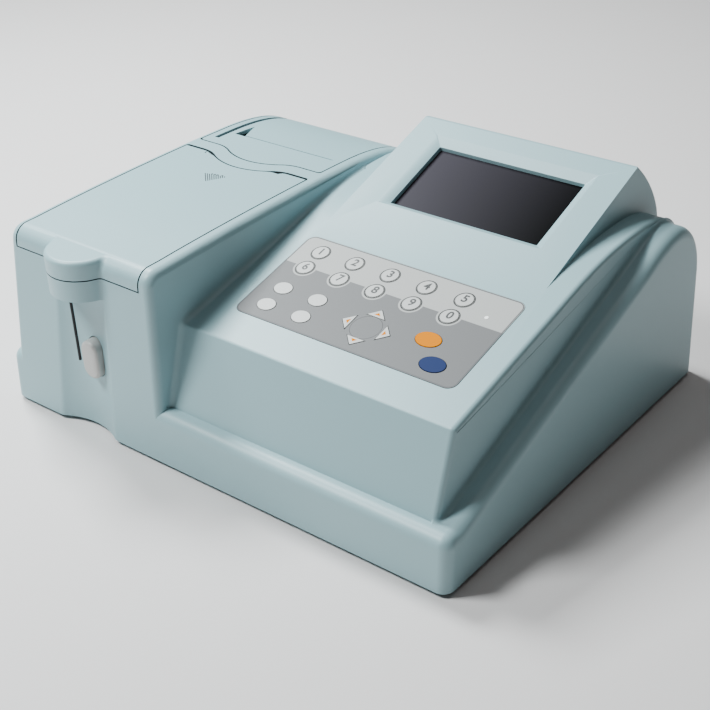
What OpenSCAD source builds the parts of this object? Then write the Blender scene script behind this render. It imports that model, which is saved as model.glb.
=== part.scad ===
// Benchtop chemistry analyzer: a moulded case with a lidded sample bay, a printer bay
// behind it, a sloping keypad deck and a tilted display, on a sheet steel bottom.
// Millimetres.  +Z is up, +X is to the operator's right, the front faces -Y, and the
// origin is the centre of the footprint on the bench.

/* [Case] */
// Width of the case
case_w = 360; // [354:1:380]
// Depth of the case
case_d = 289; // [286:1:300]
// Wall thickness of the mouldings
wall = 3; // [2.6:0.1:3.2]
// Height of the feet under the case
foot_h = 3; // [2:0.5:6]
// Height of the front ledge
ledge_h = 35.5; // [33:0.5:38]
// Backward lean of the front face in degrees
front_lean = 3.44; // [3.0:0.02:3.8]
// Forward lean of the rear face in degrees
rear_lean = 1.83; // [1:0.01:2.2]
// Rounding of the ledge's outer edge
edge_r = 8; // [4:0.5:9]
// Rounding of the upright front corners
corner_r = 6; // [4:0.5:7]
// Width of the right shoulder beside the upper body
shoulder_w = 15.5; // [14:0.5:18]
// Rise of the shoulders in degrees
shoulder_slope = 20.05; // [19:0.05:20.5]

/* [Tower] */
// Distance from the case's left side to the tower's right wall
tower_w = 142; // [140:0.5:146]
// Height of the tower above the case's bottom edge at its front
tower_h = 128.3; // [127:0.1:131]
// Rise of the tower's crown above its front
tower_crown = 2.3; // [1:0.1:3]
// Rounding of the tower's front top edge
tower_edge_r = 10; // [8:0.5:11]
// Inward draft of the tower's left wall in degrees
tower_draft = 4.8; // [4:0.1:5]

/* [Deck] */
// Height of the deck's front edge
deck_front_z = 86.5; // [84:0.5:90]
// Slope of the deck in degrees
deck_slope = 13.57; // [13:0.01:14]
// Backward lean of the wall below the deck in degrees
deck_wall_lean = 19.4; // [18:0.1:21]
// Setback of that wall behind the front edge of the case
deck_wall_y = 12.5; // [12:0.5:15]
// Rounding of the deck's front edge
deck_edge_r = 3.5; // [2:0.5:5]

/* [Display] */
// Left side of the display housing
bezel_x = 164; // [162:0.5:166]
// Width of the display housing
bezel_w = 163; // [160:0.5:168]
// Length of the display housing's face up its slope
bezel_len = 114.5; // [112:0.5:116]
// Slope of the display housing's face in degrees
bezel_slope = 19.11; // [18:0.01:20]
// Width of the visible screen
screen_w = 111; // [108:0.5:113]
// Height of the visible screen
screen_h = 59; // [56:0.5:61]
// Depth of the screen below the face
screen_sink = 6; // [5:0.5:7]

/* [Keypad] */
// Width of the keypad film
keypad_w = 163; // [160:0.5:168]
// Height of the keypad film
keypad_h = 79; // [77:0.5:82]
// Diameter of a number key
key_d = 11.1; // [10:0.1:12]
// Distance between number keys along a row
key_pitch_x = 27.4; // [26.5:0.1:28]
// Distance between the two rows of number keys
key_pitch_y = 16.1; // [15.5:0.1:17]
// How far a key can be pressed
key_travel = 0.5; // [0.3:0.05:0.6]

/* [Lid] */
// Left edge of the lid and of the printer cover
lid_x = 21.7; // [21:0.1:22.5]
// Width of the tower's top between the lid and its right wall
lid_rim = 8.9; // [8.5:0.1:10]
// Thickness of the lid
lid_t = 2.6; // [2.2:0.1:3]
// Height of the seam between the lid and the front face
lid_seam_z = 115; // [114:0.5:116]
// Distance from the case's rear edge to the straight part of the lid's rear edge
lid_from_rear = 124.5; // [123:0.5:129]
// Radius of the arch in the lid's rear edge
lid_arch_r = 47.6; // [46:0.1:49]
// Radius of the lid's hinge knuckle
knuckle_r = 2.2; // [2:0.1:2.4]
// Radius of the lid's hinge pins
lid_pin_r = 1; // [0.8:0.05:1.1]

/* [Printer] */
// Distance from the case's rear edge to the straight part of the printer cover's front edge
cover_from_rear = 113; // [109:0.5:114]
// Radius of the arch in the cover's front edge
cover_arch_r = 45; // [44:0.1:46]
// Distance from the rear edge to the paper slot
slot_from_rear = 90.5; // [88:0.5:92]
// Length of the paper slot
slot_len = 81; // [76:0.5:82]
// Radius of a full paper roll
roll_r = 22; // [18:0.5:23]
// Width of the paper
paper_w = 57; // [54:0.5:58]
// Radius of the platen roller
platen_r = 4.5; // [4:0.1:4.8]

/* [Nose] */
// Radius of the half-round nose
nose_r = 23.5; // [23:0.1:25]
// Reach of the nose in front of the case's front edge
nose_out = 9.3; // [8.5:0.1:10]
// Thickness of the nose below the seam
nose_drop = 14; // [13:0.5:15]
// Radius of the hollow in the front face
groove_r = 49.3; // [48:0.1:51]
// Depth of that hollow at the bottom edge
groove_depth = 7.1; // [6.8:0.1:7.4]
// Length of needle that shows below the nose
needle_out = 43; // [38:0.5:45]
// Radius of the needle
needle_r = 1; // [0.8:0.05:1.2]

/* [Trigger] */
// Width of the trigger button
trigger_w = 15; // [14:0.1:16]
// Height of the trigger button
trigger_h = 27; // [25:0.1:28]
// How far the trigger can be pressed
trigger_travel = 4; // [3:0.1:4.2]

/* [Optics] */
// Height of the light path above the case's bottom edge
beam_z = 86; // [85:0.5:87]
// Distance of the light path from the front edge
beam_y = 90; // [88:0.5:92]
// Radius of the filter wheel
wheel_r = 27; // [26:0.5:27.5]
// Radius of the circle that the filters sit on
filter_pitch_r = 20; // [19.5:0.1:20.5]
// Number of filters in the wheel
filter_count = 8; // [6:1:8]
// Radius of one filter
filter_r = 5; // [4:0.1:5.5]

/* [Pump] */
// Radius from the pump's axis to the centre of the squeezed tube
pump_tube_path_r = 14.4; // [14.2:0.1:15]
// Outside radius of the pump tube
pump_tube_r = 2; // [1.6:0.1:2]
// Number of rollers on the pump's rotor
roller_count = 3; // [3:1:4]

/* [Rear panel] */
// Width of the opening in the rear wall
rear_open_w = 140; // [136:1:144]
// Height of the opening in the rear wall
rear_open_h = 54; // [52:0.5:56]
// Size of the square cooling fan
fan_size = 40; // [38:0.5:42]
// Thickness of the sheet steel parts
sheet_t = 1.6; // [1.2:0.1:2]

/* [Fits] */
// Gap round a cover or key
seam = 0.35; // [0.3:0.01:0.4]
// Gap between two pieces that rest on each other
rest_gap = 0.3; // [0.2:0.05:0.35]
// Radial clearance of a shaft or pin that turns
run_fit = 0.05; // [0.03:0.01:0.08]

/* [Hidden] */
$fn = 48;
eps = 0.01;
far = 400;

case_nodes = ["housing", "bottom_plate", "rubber_feet", "case_screws", "rear_panel"];
rear_nodes = ["mains_inlet", "power_rocker", "serial_socket", "fan_frame", "fan_rotor"];
board_nodes = ["power_supply", "main_board", "key_board", "display_window", "display_module"];
bay_nodes = ["lid", "lid_hinge_pins", "sample_tub", "cell_block", "flow_cell",
             "lamp_housing", "lamp", "filter_wheel", "optical_filters", "filter_motor",
             "optics_bracket", "detector_board"];
fluid_nodes = ["pump_head", "pump_rotor", "pump_motor", "pump_tube", "needle",
               "sample_tube", "trigger_button", "trigger_switch"];
printer_nodes = ["printer_cover", "paper_roll", "printer_frame", "platen_roller"];
arrow_names = ["up", "left", "down", "right"];
key_nodes = concat(["keypad_panel"],
                   [for (d = [0:9]) str("key_", d)],
                   [for (f = [1:4]) str("function_key_", f)],
                   [for (a = arrow_names) str("arrow_key_", a)],
                   ["stop_key", "enter_key"]);

// ---- outlines of the case, seen from its right side: [distance from front, height]

function front_y(z) = z * tan(front_lean);
function rear_y(z) = case_d - z * tan(rear_lean);
function deck_y(z) = deck_wall_y + (z - ledge_h) * tan(deck_wall_lean);
deck_front_y = deck_y(deck_front_z);
function deck_z(y) = deck_front_z + (y - deck_front_y) * tan(deck_slope);

function unit(v) = v / norm(v);
function curve_point(c, t) = let (u = 1 - t)
    u * u * u * c[0] + 3 * u * u * t * c[1] + 3 * u * t * t * c[2] + t * t * t * c[3];
function curve(c, n = 14) = [for (i = [0:n]) curve_point(c, i / n)];
// An outline's corner p between its neighbours a and b, rounded by radius r.
function rounded(a, p, b, r, n = 6) =
    let (u = unit(a - p), v = unit(b - p), half = acos(u * v) / 2,
         c = p + unit(u + v) * r / sin(half),
         s = p + u * r / tan(half) - c, e = p + v * r / tan(half) - c,
         a0 = atan2(s[1], s[0]), turn = (atan2(e[1], e[0]) - a0 + 540) % 360 - 180)
    [for (i = [0:n]) c + r * [cos(a0 + turn * i / n), sin(a0 + turn * i / n)]];
// The same outline moved inwards by d.  Outlines run anticlockwise.
function inset(pts, d) = [for (i = [0:len(pts) - 1])
    let (n = len(pts), p = pts[i],
         e1 = unit(p - pts[(i + n - 1) % n]), e2 = unit(pts[(i + 1) % n] - p),
         n1 = [-e1[1], e1[0]], n2 = [-e2[1], e2[0]])
    p + d * (n1 + n2) / (1 + n1 * n2)];
// An inset outline whose floor is dropped below the case, to open it downwards.
function open_below(pts, z0) = [for (p = pts) p[1] < z0 ? [p[0], -1] : p];

tower_rear = [[rear_y(78), 78], [rear_y(78) + 0.5, 118], [case_d - 39, tower_h + 0.3],
              [case_d - 89, tower_h + 1.3]];
tower_top = [[case_d - 89, tower_h + 1.3], [case_d - 139, tower_h + 1.2 * tower_crown],
             [80, tower_h + 1.1 * tower_crown], [26, tower_h + 0.2]];
tower_pts = let (corner = [front_y(tower_h), tower_h])
    concat([[0, 0], [case_d, 0]], curve(tower_rear, 12),
           [for (i = [1:8]) curve_point(tower_top, i / 8)],
           rounded([26, tower_h + 0.2], corner, [0, 0], tower_edge_r));

deck_bend_y = case_d - 134;
deck_crest = [case_d - 67, deck_z(deck_bend_y) + 7.6];
body_rear = [[rear_y(74), 74], [rear_y(74) + 0.5, 118], [case_d - 31, deck_crest[1] - 0.6],
             deck_crest];
body_top = [deck_crest, [case_d - 89, deck_crest[1] + 0.4],
            [case_d - 111, deck_z(case_d - 111)], [deck_bend_y, deck_z(deck_bend_y)]];
body_pts = let (edge = [deck_front_y, deck_front_z])
    concat([[deck_y(10), 10], [rear_y(10), 10]], curve(body_rear, 12),
           [for (i = [1:8]) curve_point(body_top, i / 8)],
           rounded([deck_bend_y, deck_z(deck_bend_y)], edge, [deck_y(10), 10],
                   deck_edge_r));

shoulder_y = 16;
shoulder_end_y = case_d - 79;
shoulder_end_z = ledge_h + (shoulder_end_y - shoulder_y) * tan(shoulder_slope);
hump_z = shoulder_end_z + 11.5;
hump_rear = [[rear_y(72), 72], [rear_y(72) + 0.5, 104], [case_d - 21, hump_z + 0.4],
             [case_d - 39, hump_z]];
hump_front = [[case_d - 39, hump_z], [case_d - 53, hump_z - 0.3],
              [case_d - 64, shoulder_end_z + 6.3], [shoulder_end_y, shoulder_end_z]];
shoulder_pts = let (top = [front_y(ledge_h), ledge_h])
    concat([[0, 0], [case_d, 0]], curve(hump_rear, 10),
           [for (i = [1:6]) curve_point(hump_front, i / 6)], [[shoulder_y, ledge_h]],
           rounded([shoulder_y, ledge_h], top, [0, 0], edge_r));

bezel_y = case_d - 142;
bezel_z = deck_z(bezel_y);
bezel_top = [bezel_y + bezel_len * cos(bezel_slope), bezel_z + bezel_len * sin(bezel_slope)];
bezel_rear = [[rear_y(95) - 0.2, 95], [rear_y(95) + 0.2, 118], [case_d - 17, 138], bezel_top];
// The display housing's outline, with its top edge rounded by r, or sharp if r is 0.
function bezel_outline(r) = let (back = curve(bezel_rear, 12), fold = [bezel_y, bezel_z])
    concat([[bezel_y + 3, 60], [rear_y(60), 60]], [for (i = [0:11]) back[i]],
           r > 0 ? rounded(back[11], bezel_top, fold, r, 3) : [bezel_top], [fold]);

// ---- places that several pieces share

mid_y = (case_d - nose_out) / 2;
body_right = case_w - shoulder_w;
lid_w = tower_w - lid_x - lid_rim;
lid_right = lid_x + lid_w;
lid_back_y = case_d - lid_from_rear;
cover_front_y = case_d - cover_from_rear;
lid_mid = lid_x + lid_w / 2;
lid_arch_y = lid_back_y - 11.9 + lid_arch_r;
cover_arch_y = cover_front_y - 11.1 + cover_arch_r;
crown_z = tower_h + 0.91 * tower_crown;
lid_hinge = [lid_back_y - seam - 0.15 - knuckle_r, crown_z - knuckle_r];
// What the lid's rising top needs beside the housing's edge when it stands open.
swing_gap = 0.6;
// Half the width of the arch in the lid's rear edge, where it meets the straight part.
lid_arch_half = sqrt(lid_arch_r ^ 2 - (lid_arch_y - lid_back_y) ^ 2);

// The cover's hinge lies a knuckle's radius under the arch of the tower's back.
cover_hinge_t = 0.2;
cover_hinge_p = curve_point(tower_rear, cover_hinge_t);
cover_hinge_dir = unit(curve_point(tower_rear, cover_hinge_t + 0.01) - cover_hinge_p);
cover_hinge = cover_hinge_p - knuckle_r * [cover_hinge_dir[1], -cover_hinge_dir[0]];
cover_hinge_a = atan2(-cover_hinge_dir[0], cover_hinge_dir[1]);
cover_pin_r = 1.4;

nose_y = nose_r - nose_out;
nose_floor_z = lid_seam_z - nose_drop;
nose_top_z = tower_h - 0.3;
needle_x = lid_mid + 5.6;
needle_y = nose_y - nose_r + 4.3;
needle_tip_z = nose_floor_z - needle_out;
needle_hub_r = needle_r + 0.7;
needle_hub_h = 4;
groove_x = lid_mid - 4.1;
groove_back_lean = 2.2;
groove_side_lean = 2.96;
trigger_z = 53.5;
trigger_face_y = 1;
trigger_flange_y = 13.3;
trigger_end_y = trigger_flange_y + 6.6;

plate_z = 0.9;
plate_top = plate_z + sheet_t;
screw_in = wall + 3.5;
screw_xy = [for (x = [screw_in, case_w / 2, case_w - screw_in],
                 y = [screw_in, case_d - screw_in - 1]) [x, y]];
screw_r = 1.45;
boss_r = 4.5;
boss_top = 28;
foot_in = 32;
foot_r = 8;
// Stand-offs that carry the boards on the bottom plate.
standoff_h = 6;
board_z = plate_top + standoff_h;
board_t = 1.6;
board_gap = 25;
supply_w = 120;
supply_d = 70;
supply_x = case_w / 2 + 25;
supply_y = case_d - supply_d - 34;
main_board_w = 140;
main_board_d = 115;
main_board_x = case_w / 2 + 16;
main_board_y = supply_y - main_board_d - board_gap;

tub_x0 = lid_x + 4.3;
tub_x1 = lid_right - 4.1;
tub_y0 = 14;
tub_y1 = lid_back_y - 14.5;
tub_t = 2;
tub_floor = beam_z - 12;
tub_rim = tower_h - 5.7;
cell_x = lid_mid + 0.6;
cell_w = 12.4;
block_w = 28;
lamp_x = tub_x0 + 4;
wheel_x = tower_w + 4;
wheel_z = beam_z - filter_pitch_r;
motor_w = 28;
bracket_x = wheel_x + 9;
pump_x = tub_x1 - 25;
pump_y = 45;
pump_z = tub_floor + 4;
pump_h = 14;
pump_shaft_r = 2;
filter_shaft_r = 2.5;

roll_y = case_d - 45;
roll_z = 86;
spindle_r = 5.9;
platen_y = case_d - 88;
platen_z = tower_h - 12;
platen_shaft_r = 1.5;
slot_y = case_d - slot_from_rear;
slot_end_gap = 7.4;
slot_x = lid_right - slot_end_gap - slot_len;
printer_x0 = lid_mid - paper_w / 2 - 4.5;
printer_x1 = lid_mid + paper_w / 2 + 4.5;
printer_z0 = 58;

keypad_x = bezel_x - 1;
keypad_s = 24.5;
keypad_sink = 1;
keypad_proud = 0.2;
keypad_r = 6;
keypad_rim = 6.5;
keypad_end_rim = 3.2;
key_x0 = keypad_x + 17.1;
key_s1 = keypad_s + keypad_h - 12.4;
key_proud = 0.4;
key_board_n = -8;
arrow_c = [key_x0 + 70, keypad_s + 21.5];
arrow_reach = [17.6, 16.4];
arrow_leg = 6.4;
function_xy = [for (s = [28.7, 12.2], x = [0, key_pitch_x]) [key_x0 + x, keypad_s + s]];
function_d = 10.4;
function_l = 12.8;
stop_xy = [key_x0 + 110, keypad_s + 28.7];
enter_xy = [key_x0 + 124.2, keypad_s + 12.4];
oval_w = 17;
oval_h = 12;

screen_x = bezel_x + 26.5;
screen_s = 32.1;
screen_wall_h = 3;
screen_flare = [6.9, 5.6, 4.4, 7.3];

rear_x0 = case_w / 2 + 12;
rear_z0 = 10;
panel_y = rear_y(rear_z0 + rear_open_h) - wall - 0.8;
panel_in = panel_y - sheet_t;
inlet_x = rear_x0 + 36;
inlet_z = rear_z0 + 25;
inlet_w = 46;
inlet_h = 26;
inlet_deep = 21;
switch_x = inlet_x + 13.5;
rocker_w = 12.4;
rocker_pin_r = 1.2;
rocker_tilt = 9;
rocker_y = panel_y - 4;
serial_x = rear_x0 + 80;
fan_x = rear_x0 + 118;
fan_z = rear_z0 + 27;
fan_t = 10;
fan_hub_r = 8.5;
fan_pin_r = 1.2;

// ---- shared shapes

// Places a piece that is drawn from the case's front left bottom corner.
module in_case() translate([-case_w / 2, -mid_y, foot_h]) children();

// An outline seen from the right side, from x0 to x1.
module side_prism(x0, x1, pts)
    translate([x0, 0, 0]) rotate([90, 0, 90]) linear_extrude(x1 - x0) polygon(pts);

// An outline seen from the front, from y0 to y1.
module front_prism(y0, y1, pts)
    translate([0, y1, 0]) rotate([90, 0, 0]) linear_extrude(y1 - y0) polygon(pts);

module block(a, b) translate(a) cube(b - a);

// A round bar along X, Y or Z from point p.
module bar_x(p, r, l) translate(p) rotate([0, 90, 0]) cylinder(r = r, h = l);
module bar_y(p, r, l) translate(p) rotate([-90, 0, 0]) cylinder(r = r, h = l);
module bar_z(p, r, l) translate(p) cylinder(r = r, h = l);

// A flat shape with half-round ends, w by h, about its centre.
module oval(w, h) {
    long = max(w, h);
    short = min(w, h);
    turn = w >= h ? 0 : 90;
    rotate(turn) {
        square([long - short, short], center = true);
        for (s = [-1, 1]) translate([s * (long - short) / 2, 0]) circle(short / 2);
    }
}

module rounded_plate(w, h, r) {
    translate([r, 0]) square([w - 2 * r, h]);
    translate([0, r]) square([w, h - 2 * r]);
    for (x = [r, w - r], y = [r, h - r]) translate([x, y]) circle(r);
}

// Frames that lie in the deck's and in the display's face: x, up the slope, outwards.
module on_deck() translate([0, deck_front_y, deck_front_z]) rotate([deck_slope, 0, 0]) children();
module on_bezel() translate([0, bezel_y, bezel_z]) rotate([bezel_slope, 0, 0]) children();

// Frame at the cover's hinge, whose z runs up along the case's back.
module at_cover_hinge() translate([0, cover_hinge[0], cover_hinge[1]]) rotate([cover_hinge_a, 0, 0])
    children();

// A tube that follows a list of points, with sides faces round it.
module tube_along(path, r, sides = 8) {
    n = len(path);
    function way(i) = unit(path[min(i + 1, n - 1)] - path[max(i - 1, 0)]);
    function across(t) = unit(cross(t, abs(t[2]) > 0.9 ? [0, 1, 0] : [0, 0, 1]));
    rings = [for (i = [0:n - 1]) let (t = way(i), a = across(t), b = cross(t, a))
        for (k = [0:sides - 1]) path[i] + r * (a * cos(360 * k / sides) + b * sin(360 * k / sides))];
    walls = [for (i = [0:n - 2], k = [0:sides - 1]) let (m = (k + 1) % sides)
        [i * sides + k, i * sides + m, (i + 1) * sides + m, (i + 1) * sides + k]];
    ends = [[for (k = [sides - 1:-1:0]) k], [for (k = [0:sides - 1]) (n - 1) * sides + k]];
    polyhedron(rings, concat(walls, ends), convexity = 4);
}
// A smooth path through round points, with m steps from one to the next.
function smooth_path(p, m = 4) = concat([for (i = [0:len(p) - 2], k = [0:m - 1])
    let (t = k / m, a = p[max(i - 1, 0)], b = p[i], c = p[i + 1], d = p[min(i + 2, len(p) - 1)])
    0.5 * (2 * b + (c - a) * t + (2 * a - 5 * b + 4 * c - d) * t * t
           + (3 * b - a - 3 * c + d) * t * t * t)], [p[len(p) - 1]]);

// ---- the housing

// Tower's outline from the front, inset by d.
module tower_section(d) {
    foot = tan(tower_draft) * -10 + 4.9;
    head = tan(tower_draft) * 150 + 4.9;
    slant = d / cos(tower_draft);
    front_prism(-far, far, [[foot + slant, -10], [tower_w - d, -10], [tower_w - d, 150],
                            [head + slant, 150]]);
}

module display_section(d) {
    draft = 2.6;
    front_prism(-far, far, [[bezel_x - 1 + d, 60], [bezel_x + bezel_w + 1 - d, 60],
                            [bezel_x + bezel_w + 1 - d, bezel_z],
                            [bezel_x + bezel_w + 1 - draft - d, 170],
                            [bezel_x - 1 + draft + d, 170], [bezel_x - 1 + d, bezel_z]]);
}

module case_outside() {
    side_prism(0, case_w, shoulder_pts);
    side_prism(tower_w - 20, body_right, body_pts);
    intersection() {
        side_prism(0, tower_w, tower_pts);
        tower_section(0);
    }
    intersection() {
        side_prism(bezel_x - 2, bezel_x + bezel_w + 2, bezel_outline(1.5));
        display_section(0);
    }
}

module case_inside() {
    side_prism(wall, case_w - wall, open_below(inset(shoulder_pts, wall), wall + 0.5));
    side_prism(tower_w - 20, body_right - wall, inset(body_pts, wall));
    intersection() {
        side_prism(0, tower_w, open_below(inset(tower_pts, wall), wall + 0.5));
        tower_section(wall);
    }
    intersection() {
        side_prism(bezel_x - 2, bezel_x + bezel_w + 2, inset(bezel_outline(0), wall));
        display_section(wall);
    }
}

// What rounding an upright front corner takes away, at the left or the right.
module corner_waste(side) {
    x = side < 0 ? 0 : case_w;
    rotate([-front_lean, 0, 0]) difference() {
        block([x - (side < 0 ? 1 : corner_r), -1, -10], [x + (side < 0 ? corner_r : 1), corner_r, 200]);
        bar_z([x - side * corner_r, corner_r, -11], corner_r, 212);
    }
}

module groove_bar(r) translate([groove_x, groove_depth - groove_r, 0])
    rotate([-groove_back_lean, 0, 0]) rotate([0, groove_side_lean, 0])
    translate([0, 0, -10]) cylinder(r = r, h = nose_floor_z + 10, $fn = 96);

// Plan outlines of the lid and of the printer cover, grown by c.
module lid_plan(c) difference() {
    translate([lid_x - c, -60]) square([lid_w + 2 * c, lid_back_y + 60 + c]);
    translate([lid_mid, lid_arch_y]) circle(lid_arch_r - c, $fn = 96);
}

module cover_plan(c) {
    translate([lid_x - c, cover_front_y - c]) square([lid_w + 2 * c, 140]);
    intersection() {
        translate([lid_mid, cover_arch_y]) circle(cover_arch_r + c, $fn = 96);
        translate([lid_x - c, 0]) square([lid_w + 2 * c, far]);
    }
}

// Strips under the lid's and the cover's sides that stop them when they close.
module seat_strips() {
    hold = 2.5;
    for (x = [lid_x, lid_right]) intersection() {
        difference() {
            side_prism(x - 3, x + 3, inset(tower_pts, wall - 0.2));
            side_prism(x - 4, x + 4, inset(tower_pts, wall + rest_gap + hold));
        }
        union() {
            block([0, 8, nose_floor_z], [tower_w - 1, lid_back_y - 12, 140]);
            block([0, cover_front_y + 6, 115], [tower_w - 1, case_d - 30, 140]);
        }
    }
}

// Bosses for the ends of a hinge's pins, inside the tower's walls.
module pin_bosses(y, z, r) intersection() {
    union() {
        bar_x([tower_w - wall - 6, y, z], r, 6.5);
        bar_x([lid_x - 5, y, z], r, 5 - eps);
    }
    union() {
        block([0, 0, 0], [lid_x, far, far]);
        block([lid_right, 0, 0], [far, far, far]);
    }
    tower_section(0.5);
    side_prism(0, tower_w, inset(tower_pts, 0.6));
}

module pin_holes(y, z, r) {
    bar_x([lid_x - 3.2, y, z], r, 4);
    bar_x([lid_right - 1, y, z], r, 4.4);
}

module screen_surround() {
    x0 = screen_x - screen_flare[0];
    x1 = screen_x + screen_w + screen_flare[1];
    s0 = screen_s - screen_flare[2];
    s1 = screen_s + screen_h + screen_flare[3];
    reach = 1;
    foot = screen_wall_h - screen_sink;
    // Two flared slots that cross, one along each direction of the face.
    intersection() {
        front_prism(s0 - reach, s1 + reach,
            [[screen_x, -screen_sink - 2], [screen_x + screen_w, -screen_sink - 2],
             [screen_x + screen_w, foot], [x1, 0], [x1, reach], [x0, reach], [x0, 0],
             [screen_x, foot]]);
        side_prism(x0 - reach, x1 + reach,
            [[screen_s, -screen_sink - 2], [screen_s + screen_h, -screen_sink - 2],
             [screen_s + screen_h, foot], [s1, 0], [s1, reach], [s0, reach], [s0, 0],
             [screen_s, foot]]);
    }
}

module housing() in_case() color("#c3d5d8") difference() {
    union() {
        difference() {
            union() {
                case_outside();
                bar_z([lid_mid, nose_y, nose_floor_z], nose_r, lid_seam_z - nose_floor_z);
            }
            case_inside();
        }
        intersection() {
            case_outside();
            groove_bar(groove_r + wall);
        }
        seat_strips();
        pin_bosses(lid_hinge[0], lid_hinge[1], 4);
        pin_bosses(cover_hinge[0], cover_hinge[1], 4.5);
        for (p = screw_xy) bar_z([p[0], p[1], plate_top], boss_r, boss_top - plate_top);
        on_bezel() block([screen_x - screen_flare[0] - 2, screen_s - screen_flare[2] - 2, -screen_sink],
                         [screen_x + screen_w + screen_flare[1] + 2,
                          screen_s + screen_h + screen_flare[3] + 2, -1]);
        block([rear_x0 - 4, panel_y + 0.2, rear_z0 - 4],
              [rear_x0 + rear_open_w + 4, rear_y(rear_z0 + rear_open_h) - 1, rear_z0 + rear_open_h + 4]);
    }
    for (side = [-1, 1]) corner_waste(side);
    groove_bar(groove_r);
    // Room inside the nose for the needle's holder, open to the sample bay.
    bar_z([lid_mid, nose_y, nose_floor_z + wall], nose_r - wall, 40);
    bar_z([needle_x, needle_y, nose_floor_z - 1], needle_r + 0.2, wall + 2);
    bar_z([needle_x, needle_y, nose_floor_z + wall], needle_hub_r + rest_gap, 40);
    translate([0, 0, lid_seam_z]) linear_extrude(60) lid_plan(0);
    intersection() {
        translate([0, 0, 60]) linear_extrude(120) cover_plan(0);
        at_cover_hinge() block([-10, -far, -knuckle_r - seam - 0.1], [far, far, far]);
    }
    pin_holes(lid_hinge[0], lid_hinge[1], lid_pin_r + run_fit);
    pin_holes(cover_hinge[0], cover_hinge[1], cover_pin_r + run_fit);
    translate([needle_x, 40, trigger_z]) rotate([90, 0, 0]) linear_extrude(60)
        oval(trigger_w + 0.6, trigger_h + 0.6);
    on_deck() {
        translate([keypad_x - seam, keypad_s - seam, -keypad_sink]) linear_extrude(5)
            rounded_plate(keypad_w + 2 * seam, keypad_h + 2 * seam, keypad_r + seam);
        block([keypad_x + keypad_rim, keypad_s + keypad_end_rim, -8],
              [keypad_x + keypad_w - keypad_rim, keypad_s + keypad_h - keypad_end_rim, 1]);
    }
    on_bezel() screen_surround();
    block([rear_x0, panel_y - 3, rear_z0], [rear_x0 + rear_open_w, case_d + 5, rear_z0 + rear_open_h]);
    for (p = screw_xy) bar_z([p[0], p[1], 0], screw_r + run_fit, 14);
}

// ---- underside

module bottom_plate() in_case() color("#9aa0a3") {
    // A turned-up lip stiffens the plate along its front.
    lip_h = 8;
    lip_x = 60;
    lip_y = 15.6;
    slot_pitch = 12;
    difference() {
        block([wall + 0.4, wall + 0.6, plate_z], [case_w - wall - 0.4, case_d - wall - 0.6, plate_top]);
        for (p = screw_xy) bar_z([p[0], p[1], 0], screw_r + 0.25, 5);
        translate([0, 0, -5]) groove_bar(groove_r + wall + 0.4);
        // Cooling slots under the power supply.
        for (i = [1:8]) block([supply_x + slot_pitch * i, supply_y + 10, 0],
                              [supply_x + slot_pitch * i + 4, supply_y + 60, plate_top + 1]);
    }
    block([lip_x, lip_y, plate_top - eps], [case_w - lip_x, lip_y + sheet_t, plate_top + lip_h]);
}

module rubber_feet() in_case() color("#2b2b2b")
    for (x = [foot_in, case_w - foot_in], y = [foot_in, case_d - foot_in]) {
        bar_z([x, y, -foot_h], foot_r, foot_h + plate_z - 1);
        bar_z([x, y, plate_z - 1 - eps], foot_r - 1, 1 + eps);
    }

module case_screws() in_case() color("#7d8285")
    for (p = screw_xy) {
        bar_z([p[0], p[1], plate_z - 1.8], 2.8, 1.8);
        bar_z([p[0], p[1], plate_z - eps], screw_r, 10);
    }

// ---- rear panel and what it carries

module rear_panel() in_case() color("#a7adb0") difference() {
    rim = 3;
    foot = 12;
    union() {
        block([rear_x0 - rim, panel_in, plate_top],
              [rear_x0 + rear_open_w + rim, panel_y, rear_z0 + rear_open_h + rim]);
        block([rear_x0 - rim, panel_in - foot, plate_top],
              [rear_x0 + rear_open_w + rim, panel_in + eps, plate_top + sheet_t]);
    }
    block([inlet_x - inlet_w / 2 - 0.2, panel_in - 1, inlet_z - inlet_h / 2 - 0.2],
          [inlet_x + inlet_w / 2 + 0.2, panel_y + 1, inlet_z + inlet_h / 2 + 0.2]);
    block([serial_x - 10, panel_in - 1, inlet_z - 6], [serial_x + 10, panel_y + 1, inlet_z + 6]);
    // Three rings of slots in front of the fan, crossed by four ribs.
    difference() {
        for (r = [6, 11, 16]) difference() {
            bar_y([fan_x, panel_in - 1, fan_z], r + 2.2, sheet_t + 2);
            bar_y([fan_x, panel_in - 2, fan_z], r - 1, sheet_t + 4);
        }
        for (a = [45, 135]) translate([fan_x, panel_y, fan_z]) rotate([0, a, 0])
            cube([60, 8, 2.4], center = true);
    }
}

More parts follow.
